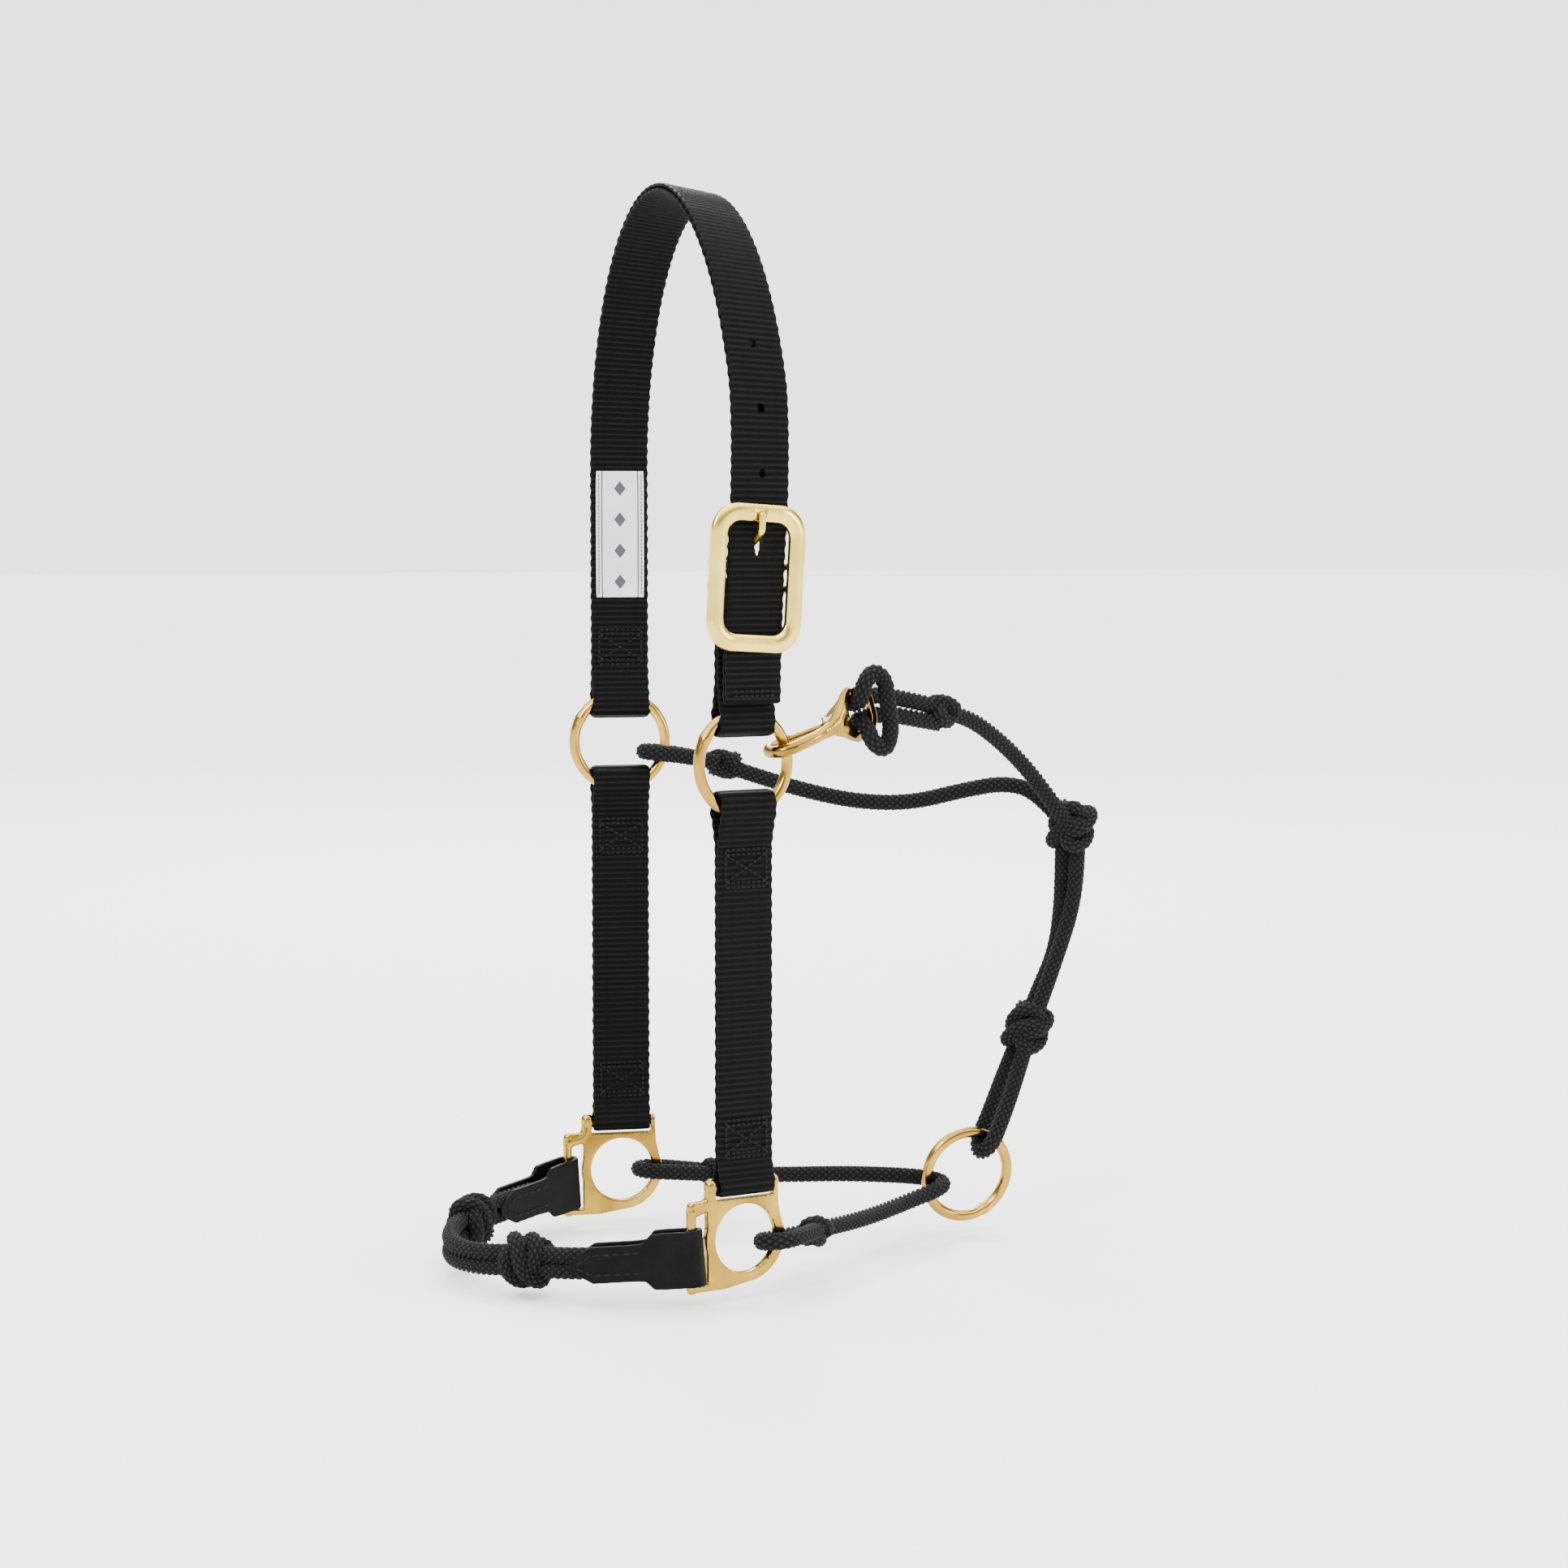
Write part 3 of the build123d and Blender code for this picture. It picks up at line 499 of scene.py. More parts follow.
# ---- Webbing ----
# One-inch ribbed nylon: the crown strap, the buckle's chape and the two cheek straps.
# Each is one length, folded round its metal and sewn to itself, so it shows two layers.
RIB_PITCH = 2.4
WARP_PITCH, WEFT_PITCH = 0.85, 0.6
CORD_LINE, CORD_HALF = 6.6, 0.45     # a plainer yarn on each side of the middle
webbing_finish = Finish("black_ribbed_nylon", specular_ior_level=0.045)
web_across, web_along = webbing_finish.across_and_along()
# Painted light: lighter along each rib's crest and darker in the groove between ribs.
painted_rib_light = (web_along * (1 / RIB_PITCH) + 0.25).wave() * 0.5 + 0.5
warp_yarn = (web_across * (1 / WARP_PITCH)).wave()
brick = (web_across * (1 / (2 * WARP_PITCH))).floor() * 0.5
weft_yarn = (web_along * (1 / WEFT_PITCH) + brick).wave()
weave = warp_yarn * weft_yarn
dust = webbing_finish.grain(60.0, 5.0)
lines = ((web_across.size() - CORD_LINE).size() - CORD_HALF).over(0.0)
# The base colour holds a painted highlight on the ribs' crests and a painted shade in their grooves, along
# with the weave, the dust and the plainer yarn lines.
webbing_finish.varies("Base Color", webbing_finish.shades(
    painted_rib_light * 0.55 + weave * 0.10 + dust * 0.25 + lines * 0.08,
    (0.12, (0.0002, 0.0002, 0.0002)), (0.5, (0.0013, 0.0013, 0.0014)),
    (0.85, (0.0070, 0.0070, 0.0076)),
))
webbing_finish.varies("Roughness", dust * 0.3 + 0.34)
webbing_finish.bumps(weave * 0.55 + dust * 0.35 + lines * 0.6, 0.00018, 0.8)

WEB_HALF = 12.7
PLY = 1.9                # from the middle of one layer to the middle of the next
WEB_THICK = PLY - 0.40
RIB_RISE = 0.19
SCALLOP = 0.42           # how far the edge dips between the turns of the weft
SIDE_YAW = radians(9.0)
CROWN_OUT = 6.8          # the crown's near arm, out from the side plane
SIDE_Y = 76.0
NEAR_X = -CROWN_OUT * sin(SIDE_YAW)
COSY, SINY = cos(SIDE_YAW), sin(SIDE_YAW)
UPRIGHT = ((0, 0, 1, 0), (0, 0, 0, 1))
SIDES = {                # matrices for points as (across, outward, up)
    "near": Matrix(((COSY, SINY, 0, NEAR_X), (SINY, -COSY, 0, -SIDE_Y), *UPRIGHT)),
    "off": Matrix(((COSY, SINY, 0, 0), (-SINY, COSY, 0, SIDE_Y), *UPRIGHT)),
}


def fold(loops):
    """A strap's line as (outward, along); a loop is (end, middle, half length, radius, neck)."""
    flat_run = 2.0           # where the two layers already lie together
    line = []
    for end, middle, half, radius, neck in loops:
        foot = middle - end * neck
        line.append((end * PLY / 2, foot - end * flat_run))
        line.append((end * PLY / 2, foot))
        for degrees in range(-45, 226, 9):
            shift = half if 0 <= degrees <= 180 else -half
            line.append((
                end * radius * cos(radians(degrees)),
                middle + end * (shift + radius * sin(radians(degrees))),
            ))
        line.append((-end * PLY / 2, foot))
        line.append((-end * PLY / 2, foot - end * flat_run))
    return line


def lay_band(name, spine, line):
    """A band along a closed (outward, along) line, over a spine of (along, centre, across, out)."""
    flat, along = evenly(line, RIB_PITCH / 4, True, 8)
    for _ in range(5):
        flat = flat / 2 + (np.roll(flat, 1, axis=0) + np.roll(flat, -1, axis=0)) / 4
    where = spine["along"]
    centre, across, out = (
        np.stack([np.interp(flat[:, 1], where, spine[key][:, k]) for k in range(3)], axis=1)
        for key in ("centre", "across", "out")
    )
    middle = centre + out * flat[:, :1]
    tangent = np.roll(middle, -1, axis=0) - np.roll(middle, 1, axis=0)
    tangent /= np.linalg.norm(tangent, axis=1)[:, None]
    face = np.cross(across, tangent)
    ribs = along[:-1] / along[-1] * round(along[-1] / RIB_PITCH) * tau
    wide = WEB_HALF - SCALLOP * (0.5 - 0.5 * np.cos(ribs / 2))
    right_half = [0.18, 0.36, 0.55, 0.74, 0.9, 0.975, 1]
    columns = np.array([-x for x in reversed(right_half)] + [0] + right_half)
    top = np.array([0.30, 0.72, 0.95] + [1] * 9 + [0.95, 0.72, 0.30])
    section_x = np.concatenate([columns, columns[::-1]])
    section_y = np.concatenate([top, -top[::-1]]) * WEB_THICK / 2
    ripple = np.sign(section_y) * (np.abs(section_x) < 0.95)
    height = section_y[None, :] + RIB_RISE * np.cos(ribs)[:, None] * ripple[None, :]
    rings = (
        middle[:, None, :]
        + across[:, None, :] * (wide[:, None] * section_x[None, :])[..., None]
        + face[:, None, :] * height[..., None]
    )
    around = np.concatenate([section_x * WEB_HALF, [section_x[0] * WEB_HALF]])
    return webbing_finish.on(skin(name, rings, around, along, closed=True))


def upright_spine(side, low, high):
    """A strap that hangs straight in a side plane."""
    place = SIDES[side]
    ends = [low, high]
    return {
        "along": np.array(ends),
        "centre": np.array([place @ Vector((0, 0, z)) for z in ends]),
        "across": np.array([place.to_3x3() @ Vector((1, 0, 0))] * 2),
        "out": np.array([place.to_3x3() @ Vector((0, 1, 0))] * 2),
    }


LOWER_LOOP_Z, UPPER_LOOP_Z, DEE_BAR_Z = -245.41, -210.59, -396.0
RING_LOOP_HALF = 5.34
UNDER_RING_R, OVER_RING_R = 3.65, 2.65   # the room in a loop for the ring's wire
RING_NECK, BAR_NECK = 15.3, 10.0         # from a loop's middle to where the layers meet
for side in ("near", "off"):
    cheek_line = fold([
        (1, LOWER_LOOP_Z, RING_LOOP_HALF - UNDER_RING_R, UNDER_RING_R + PLY / 2, RING_NECK),
        (-1, DEE_BAR_Z, 0, 2.7 + PLY / 2, BAR_NECK),
    ])
    cheek = lay_band(f"{side}_cheek_webbing", upright_spine(side, -420, -220), cheek_line)
    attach(cheek, f"{side}_cheek")
    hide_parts(f"{side}_cheek_strap")

CHAPE_BAR_Z = -158.6
chape_line = fold([
    (1, CHAPE_BAR_Z, 0, 2.15 + PLY / 2, BAR_NECK),
    (-1, UPPER_LOOP_Z, RING_LOOP_HALF - OVER_RING_R, OVER_RING_R + PLY / 2, RING_NECK),
])
chape = lay_band("chape_webbing", upright_spine("near", -240, -140), chape_line)
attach(chape, "headpiece")
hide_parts("near_chape")

CROWN_TAIL_Z, CROWN_SHOULDER_Z = -204.0, -110.0
OFF_NECK_Z, OFF_FOOT_Z = -195.3, -240.0
near_arm_y = -SIDE_Y - CROWN_OUT * COSY


def crown_lean(z):
    """How far the near arm leans back from its buckle upwards; the arch takes it up again."""
    heights, leans = (-192, -155, -122, -80, -30, 0), (0.0, 1.3, 3.2, 3.8, 1.5, 0.0)
    return float(np.interp(z, heights, leans))


arch_half, arch_middle = (SIDE_Y - near_arm_y) / 2, (SIDE_Y + near_arm_y) / 2
arch_rise = -CROWN_SHOULDER_Z + PLY
near_arm = np.arange(CROWN_TAIL_Z - 6, CROWN_SHOULDER_Z - 2, 4.0)
crown_centres = [(crown_lean(z), near_arm_y, z) for z in near_arm]
crown_inward = [(0, 1, 0)] * len(crown_centres)
for angle in np.linspace(pi, 0, 121):
    arch_z = CROWN_SHOULDER_Z + arch_rise * sin(angle)
    lean = crown_lean(arch_z) if angle > pi / 2 else 0.0
    crown_centres.append((lean, arch_middle + arch_half * cos(angle), arch_z))
    inward = Vector((0, -cos(angle) / arch_half, -sin(angle) / arch_rise)).normalized()
    crown_inward.append(tuple(inward))
crown_centres += [(0, SIDE_Y, OFF_NECK_Z), (0, SIDE_Y, OFF_FOOT_Z)]
crown_inward += [(0, -1, 0)] * 2
crown_centres, crown_inward = np.array(crown_centres, float), np.array(crown_inward, float)
crown_spine = {
    "along": distances(crown_centres),
    "centre": crown_centres,
    "across": COSY * np.array([1.0, 0, 0]) + SINY * crown_inward,
    "out": SINY * np.array([1.0, 0, 0]) - COSY * crown_inward,
}
ring_loop_at = crown_spine["along"][-1] - (UPPER_LOOP_Z - OFF_FOOT_Z)
crown_line = fold([
    (1, ring_loop_at, RING_LOOP_HALF - OVER_RING_R, OVER_RING_R + PLY / 2, RING_NECK),
])
crown_line += [(-PLY / 2, 6.9), (-PLY / 4, 6.1), (PLY / 4, 6.1), (PLY / 2, 6.9)]   # the tail's hem
crown = lay_band("crown_webbing", crown_spine, crown_line)


def put(piece, place):
    """Takes a new piece's mesh to its place, with its faces still outwards."""
    place = place.copy()
    place.translation *= MM
    piece.data.transform(place)
    if place.determinant() < 0:
        piece.data.flip_normals()
    return piece


# Punched holes up the near arm; the tongue has drawn the one it sits in.
HOLE_Z, HOLE_PITCH = -139.6, 25.4
bpy.ops.object.select_all(action="DESELECT")
punches = []
for step in range(5):
    radius, stretch, drop = (2.0, 2.4, 2.5) if step == 0 else (1.5, 1.2, 0)
    bpy.ops.mesh.primitive_cylinder_add(vertices=28, radius=radius * MM, depth=12 * MM)
    rise = HOLE_Z + HOLE_PITCH * step - drop
    place = (
        SIDES["near"] @ Matrix.Translation((crown_lean(rise), CROWN_OUT, rise))
        @ Matrix.Scale(stretch, 4, (0, 0, 1)) @ Matrix.Rotation(radians(90), 4, "X")
    )
    punches.append(put(bpy.context.object, place))
punch = joined(punches)
bpy.ops.object.mode_set(mode="EDIT")
bpy.ops.mesh.select_all(action="SELECT")
bpy.ops.mesh.normals_make_consistent(inside=False)
bpy.ops.object.mode_set(mode="OBJECT")
bpy.ops.object.select_all(action="DESELECT")
bpy.context.view_layer.objects.active = crown
crown.select_set(True)
cutter = crown.modifiers.new("holes", "BOOLEAN")
cutter.operation, cutter.object, cutter.solver = "DIFFERENCE", punch, "FAST"
bpy.ops.object.modifier_apply(modifier="holes")
bpy.data.objects.remove(punch)
crown.select_set(False)
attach(crown, "headpiece")
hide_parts("crown_strap")

# ---- Label ----
# A woven cloth label, sewn along its two long sides to the inside of the off arm.
# Plain silver grey, with a border line and a row of small lozenges.
label_finish = Finish("silver_grey_label", roughness=0.6, specular_ior_level=0.3, sheen_weight=0.2)
label_across, label_along = label_finish.across_and_along()
BORDER_AT, BORDER_HALF = 8.0, 0.28
LOZENGE_PITCH, LOZENGE_HALF = 13.5, 2.6
border = (label_across.size() - BORDER_AT).size()
border_line = 1 - (border - BORDER_HALF).over(0.0)
lozenge_along = ((label_along % LOZENGE_PITCH) - LOZENGE_PITCH / 2).size()
lozenge = 1 - (lozenge_along * 0.8 + label_across.size() - LOZENGE_HALF).over(0.0)
label_weave = (label_across * 2.2).wave() * (label_along * 2.2).wave()
label_soil = label_finish.grain(70.0, 4.0)
label_cloth = label_finish.shades(
    label_soil * 0.6 + label_weave * 0.2, (0.1, (0.50, 0.505, 0.51)), (0.8, (0.74, 0.75, 0.76)),
)
label_finish.varies("Base Color", label_finish.node("Mix", {"data_type": "RGBA"}, {
    0: border_line.math("MAXIMUM", border_line, lozenge), 6: label_cloth, 7: (0.045, 0.045, 0.05, 1.0),
}, output=2))
label_finish.bumps(label_weave * 0.5 + label_soil * 0.4, 0.00010, 0.7)
LABEL_LOW, LABEL_HIGH, LABEL_HALF, LABEL_OUT, CLOTH_HALF = -164.9, -110.1, 10.6, -2.22, 0.14
PICKS, ENDS = 110, 33    # rows of the cloth along and across
label_z = np.linspace(LABEL_LOW, LABEL_HIGH, PICKS)
label_x = np.linspace(-1, 1, ENDS)
rounded = 0.022 * np.abs(np.linspace(-1, 1, PICKS)) ** 8
label_bow = 1 - rounded - 0.006 * (np.arange(PICKS) % 2)
label_section = np.concatenate([label_x, label_x[::-1]])
label_faces = np.repeat([CLOTH_HALF, -CLOTH_HALF], ENDS)


def on_label(x, out, z, wide):
    """A point of the cloth, whose two long sides lift a little between stitches."""
    lift = 0.10 * sin(z * 1.1) ** 2 * abs(x) ** 3
    return SIDES["off"] @ Vector((x * LABEL_HALF * wide, LABEL_OUT + out - lift, z))


label_rings = np.array([
    [on_label(x, out, z, wide) for x, out in zip(label_section, label_faces)]
    for z, wide in zip(label_z, label_bow)
])
label_around = np.append(label_section, label_section[0]) * LABEL_HALF
label = label_finish.on(skin("label_cloth", label_rings, label_around, label_z - LABEL_LOW))
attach(label, "headpiece")
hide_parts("label")

# ---- Stitching ----
# Black bonded thread: crossed boxes where the webbing is sewn to itself, two rows on each
# leather tab that meet at its tip, and a row down each side of the label.
thread_finish = Finish("black_thread", roughness=0.5, specular_ior_level=0.09)
thread_twist = thread_finish.node("TexWave", {"bands_direction": "DIAGONAL"}, {
    "Vector": thread_finish.place(), "Scale": 900.0, "Distortion": 1.0,
})
thread_finish.varies("Base Color", thread_finish.shades(
    thread_finish.grain(400.0), (0.2, (0.0016, 0.0016, 0.0018)), (0.8, (0.0090, 0.0090, 0.0098)),
))
thread_finish.bumps(thread_twist, 0.0001, 0.5)
STITCH = 2.3             # one stitch and the gap after it


def stitches(name, rows, node, body, thick=0.54, pitch=STITCH, proud=0.02):
    """Rows of single stitches: each row is (start, end, the way the face looks), in millimetres."""
    profile = [
        (-1.0, 0.0), (-0.86, 0.62), (-0.4, 0.95), (0.0, 1.0), (0.4, 0.95), (0.86, 0.62), (1.0, 0.0),
    ]
    sides, reach_share, end_dip = 7, 0.43, 0.30
    vertices, faces = [], []
    for start, end, face in rows:
        start, end, face = Vector(start), Vector(end), Vector(face).normalized()
        run = end - start
        count = max(1, round(run.length / pitch))
        step = run / count
        ahead = step.normalized()
        beside = ahead.cross(face)
        for k in range(count):
            middle = start + step * (k + 0.5) + face * proud
            base = len(vertices)
            for reach, girth in profile:
                dip = -end_dip * reach * reach
                point = middle + ahead * (reach * step.length * reach_share) + face * dip
                if girth == 0.0:
                    vertices.append(point)
                    continue
                for turn in range(sides):
                    angle = tau * turn / sides
                    spoke = beside * cos(angle) + face * sin(angle)
                    vertices.append(point + spoke * thick * girth)
            first, last = base, len(vertices) - 1
            for turn in range(sides):
                following = (turn + 1) % sides
                faces.append((first, first + 1 + following, first + 1 + turn))
                for band in range(len(profile) - 3):
                    low = first + 1 + band * sides
                    high = low + sides
                    faces.append((low + turn, low + following, high + following, high + turn))
                top = last - sides
                faces.append((last, top + turn, top + following))
    mesh = bpy.data.meshes.new(name)
    mesh.from_pydata([vertex * MM for vertex in vertices], [], faces)
    faces_out(mesh)
    piece = thread_finish.on(linked(name, mesh))
    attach(piece, body)
    if node:
        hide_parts(node)


def on_faces(place, outs, lines):
    """Rows (across, up, across, up) on faces: each is how far out it lies and which way it looks."""
    rows = []
    for out, way in outs:
        face = place.to_3x3() @ Vector((0, way, 0))
        rows += [
            (place @ Vector((x0, out, z0)), place @ Vector((x1, out, z1)), face) for x0, z0, x1, z1 in lines
        ]
    return rows


BOX_HALF, ROW_GAP = 9.3, 1.9


def crossed_box(low, high):
    left, right, lower, upper = -BOX_HALF, BOX_HALF, low + ROW_GAP, high - ROW_GAP
    return [
        (left, high, right, high), (left, upper, right, upper), (left, low, right, low),
        (left, lower, right, lower), (left, low, left, high), (right, low, right, high),
        (left, lower, right, upper), (left, upper, right, lower),
    ]


both_faces = ((PLY, 1), (-PLY, -1))
for side in ("near", "off"):
    cheek_boxes = crossed_box(-276.9, -261.9) + crossed_box(-384.8, -369.8)
    cheek_rows = on_faces(SIDES[side], both_faces, cheek_boxes)
    stitches(f"{side}_cheek_thread", cheek_rows, f"{side}_cheek_stitching", f"{side}_cheek")
hem_rows = [(-BOX_HALF, z, BOX_HALF, z) for z in (-201.0, -199.2)]
crown_rows = on_faces(SIDES["off"], both_faces, crossed_box(-194.1, -179.1))
crown_rows += on_faces(SIDES["near"], ((CROWN_OUT + PLY, 1), (CROWN_OUT - PLY, -1)), hem_rows)
stitches("crown_thread", crown_rows, "crown_stitching", "headpiece")
chape_rows = on_faces(SIDES["near"], both_faces, crossed_box(-190.0, -175.0))
stitches("chape_thread", chape_rows, None, "headpiece")
label_rows = on_faces(SIDES["off"], ((-2.6, -1),), [(x, -111.5, x, -163.5) for x in (-9.4, 9.4)])
stitches("label_thread", label_rows, "label_stitching", "headpiece", 0.2, 1.6)

# ---- Leather tabs ----
# A strip of bridle leather, folded round each dee's side bar and sewn shut over the ends of
# the nose ropes. Its tongue ends in a point, just behind the knots.
leather_finish = Finish("black_bridle_leather", specular_ior_level=0.06)
pores = leather_finish.node("TexVoronoi", {"feature": "DISTANCE_TO_EDGE"}, {
    "Vector": leather_finish.place(), "Scale": 900.0,
}, output="Distance")
hide = leather_finish.grain(120.0, 6.0)
leather_finish.varies("Base Color", leather_finish.shades(
    hide, (0.3, (0.0008, 0.0008, 0.0008)), (0.75, (0.0038, 0.0037, 0.0037)),
))
leather_finish.varies("Roughness", hide * 0.25 + 0.32)
leather_finish.bumps(pores * 0.6 + hide * 0.5, 0.00025, 0.45)
TAB_Z, SIDE_BAR_X, TAB_TURN, TAB_DROOP = -423.2, -24.1, 39.0, 5.0
TAB_OUT = 3.225 + 2.1    # half the room inside, and the leather
TONGUE_HALF, TAB_LENGTH = 8.25, 50.0
SKIVE_FROM, SKIVE_RUN, SKIVE = 10.0, 14.0, 0.11


def softened(name, node, voxel, passes, extras=(), reshape=None):
    """A copy of a CAD solid with the edges that casting, polishing or skiving leave."""
    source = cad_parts[node]
    mesh = source.data.copy()
    mesh.transform(source.matrix_world)
    piece = joined([linked(name, mesh), *extras])
    bpy.ops.object.mode_set(mode="EDIT")
    bpy.ops.mesh.select_all(action="SELECT")
    bpy.ops.mesh.remove_doubles(threshold=1e-6)
    bpy.ops.object.mode_set(mode="OBJECT")
    remesh = piece.modifiers.new("skin", "REMESH")
    remesh.mode, remesh.voxel_size = "VOXEL", voxel * MM
    bpy.ops.object.modifier_apply(modifier="skin")
    if reshape:
        for vertex in piece.data.vertices:
            vertex.co = reshape(vertex.co / MM) * MM
    smooth = piece.modifiers.new("smooth", "SMOOTH")
    smooth.factor, smooth.iterations = 0.5, passes
    bpy.ops.object.modifier_apply(modifier="smooth")
    piece.data.shade_smooth()
    piece.select_set(False)
    return piece


def skived(lie):
    """Draws the tongue in behind a sweep of the shoulder, close over the two ropes."""
    back = lie.inverted()

    def reshape(point):
        x, out, z = back @ point
        sweep = min(1.0, max(0.0, (-x - SKIVE_FROM) / SKIVE_RUN))
        return lie @ Vector((x, out, z * (1 - SKIVE * sweep * sweep * (3 - 2 * sweep))))

    return reshape


tab_place = (
    Matrix.Translation((SIDE_BAR_X, 0, TAB_Z)) @ Matrix.Rotation(radians(TAB_TURN), 4, "Z")
    @ Matrix.Rotation(radians(-TAB_DROOP), 4, "Y")
)
ROW_Z, ROW_START, ROW_END, ROW_TIP = 4.0, -19.0, -TAB_LENGTH + 1.3 * TONGUE_HALF, -TAB_LENGTH + 4.4
tab_lines = [
    (ROW_START, ROW_Z, ROW_END, ROW_Z), (ROW_START, -ROW_Z, ROW_END, -ROW_Z),
    (ROW_END, ROW_Z, ROW_TIP, 0.4), (ROW_END, -ROW_Z, ROW_TIP, -0.4),
]
for side in ("near", "off"):
    lie = SIDES[side] @ tab_place
    tab_rows = on_faces(lie, ((TAB_OUT, 1), (-TAB_OUT, -1)), tab_lines)
    stitches(f"{side}_tab_thread", tab_rows, f"{side}_tab_stitching", "noseband", 0.62, 3.9, 0.10)
    tab = softened(f"{side}_tab_leather", f"{side}_tab", 0.42, 4, reshape=skived(lie))
    leather_finish.on(tab)
    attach(tab, "noseband")
    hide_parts(f"{side}_tab")

# ---- Rings ----
# Round brass wire, bent and brazed: one between the crown and each cheek strap, and the
# loose tie ring under the chin. Each turns freely in the straps or ropes that hold it.
brass_finish = Finish("polished_brass", metallic=1.0, specular_ior_level=0.5)
tarnish = brass_finish.grain(45.0, 5.0)
fine_wear = brass_finish.grain(700.0, 3.0)
brass_finish.varies("Base Color", brass_finish.shades(
    tarnish, (0.25, (0.21, 0.112, 0.014)), (0.55, (0.39, 0.235, 0.034)), (0.8, (0.57, 0.38, 0.078)),
))
brass_finish.varies("Roughness", tarnish * 0.14 + fine_wear * 0.06 + 0.08)
brass_finish.bumps(fine_wear * 0.6 + tarnish, 0.00006, 0.5)
BRAZE_SWELL, BRAZE_HALF = 0.12, 3.0      # the join: a slight swelling on the wire


def wire_ring(name, node, place, radius, wire, body):
    bpy.ops.object.select_all(action="DESELECT")
    bpy.ops.mesh.primitive_torus_add(
        major_segments=160, minor_segments=28, major_radius=radius * MM, minor_radius=wire * MM,
    )
    ring = bpy.context.object
    ring.name = name
    for vertex in ring.data.vertices:
        x, y, z = vertex.co / MM
        swell = BRAZE_SWELL * max(0.0, 1 - abs(y) / BRAZE_HALF) if x > 0 else 0.0
        centre = Vector((x, y, 0)).normalized() * radius
        vertex.co = (centre + (Vector((x, y, z)) - centre) * (1 + swell)) * MM
    put(ring, place).data.shade_smooth()
    ring.select_set(False)
    brass_finish.on(ring)
    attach(ring, body)
    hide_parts(node)


def standing(place, tilt, join):
    """A ring's place: stood up with its own tilt, and its join turned out of sight."""
    turn = Matrix.Rotation(radians(90 + tilt), 4, "X") @ Matrix.Rotation(radians(join), 4, "Z")
    return Matrix.Translation(place) @ turn


for side in ("near", "off"):
    stand = SIDES[side] @ standing((0, 0, -228.0), 0, 150)
    wire_ring(f"{side}_ring_wire", f"{side}_ring", stand, 20.1, 2.3, f"{side}_ring")
wire_ring("tie_ring_wire", "tie_ring", standing((133, 0, -416), 9, -60), 19.2, 2.35, "tie_ring")

# ---- Dees ----
# Cast brass plates, tumbled smooth. Each has a round eye for the chin rope, a bar along its
# top for the cheek strap, and an upright bar ahead of the eye for the leather tab.
def brass_casting(name, *stops):
    """Polished cast brass, duller where hands have been."""
    finish = Finish(name, metallic=1.0, specular_ior_level=0.5)
    tone = finish.grain(60.0, 4.0)
    pits = finish.grain(420.0, 4.0)
    finish.varies("Base Color", finish.shades(tone, *stops))
    finish.varies("Roughness", tone * 0.14 + pits * 0.06 + 0.08)
    finish.bumps(pits * 0.2 + tone, 0.00008, 0.35)
    return finish


cast_finish = brass_casting(
    "cast_brass", (0.25, (0.20, 0.115, 0.012)), (0.55, (0.38, 0.235, 0.030)),
    (0.8, (0.56, 0.37, 0.062)),
)


def cast(name, node, body, voxel, passes, extras=(), finish=cast_finish, reshape=None):
    piece = finish.on(softened(name, node, voxel, passes, extras, reshape))
    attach(piece, body)
    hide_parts(node)


def boss(place, point, radius, squeeze, segments=24):
    """A rounded boss, flattened across the plate, before it is cast into one with the rest."""
    bpy.ops.object.select_all(action="DESELECT")
    bpy.ops.mesh.primitive_uv_sphere_add(
        segments=segments, ring_count=segments // 2, radius=radius * MM,
    )
    flattened = Matrix.Translation(point) @ Matrix.Scale(squeeze, 4, (0, 1, 0))
    return put(bpy.context.object, place @ flattened)


DEE_EYE_Z = -417.6
HORN_FROM = 12.5


def slim_horn(side):
    """Draws the rear horn in to the strap's edge, in one sweep with the rim round the eye."""
    place = SIDES[side]
    back = place.inverted()
    heights = (DEE_EYE_Z - 8, DEE_EYE_Z, -413, -406, -396)
    wanted, cast_as = (16.1, 18.5, 17.2, 15.5, 14.9), (16.1, 18.0, 17.4, 17.4, 17.4)

    def reshape(point):
        x, out, z = back @ point
        if x > HORN_FROM:
            rim, edge = (np.interp(z, heights, widths) for widths in (wanted, cast_as))
            x = HORN_FROM + (x - HORN_FROM) * (rim - HORN_FROM) / (edge - HORN_FROM)
        return place @ Vector((x, out, z))

    return reshape


for side, body in (("near", "noseband"), ("off", "off_dee")):
    horns = [
        boss(SIDES[side], (x, 0, z), radius, 0.95) for x, z, radius in (
            (-15.3, DEE_BAR_Z + 0.6, 2.9), (15.6, DEE_BAR_Z + 0.4, 2.3),
            (SIDE_BAR_X + 0.3, -405.2, 2.5), (SIDE_BAR_X + 0.4, -435.9, 2.4),
        )
    ]
    stations = (0, 0.4, 0.6, 0.8, 1)         # down the front shoulder, from horn to side bar
    for reach in np.linspace(0, 1, 15):
        x = np.interp(reach, stations, (-15.4, -15.9, -17.4, -20.6, -23.2))
        z = np.interp(reach, stations, (-396.4, -401.0, -403.2, -404.2, -405.0))
        horns.append(boss(SIDES[side], (x, 0, z), 2.5, 0.80))
    cast(f"{side}_dee_casting", f"{side}_dee", body, 0.34, 14, horns, reshape=slim_horn(side))

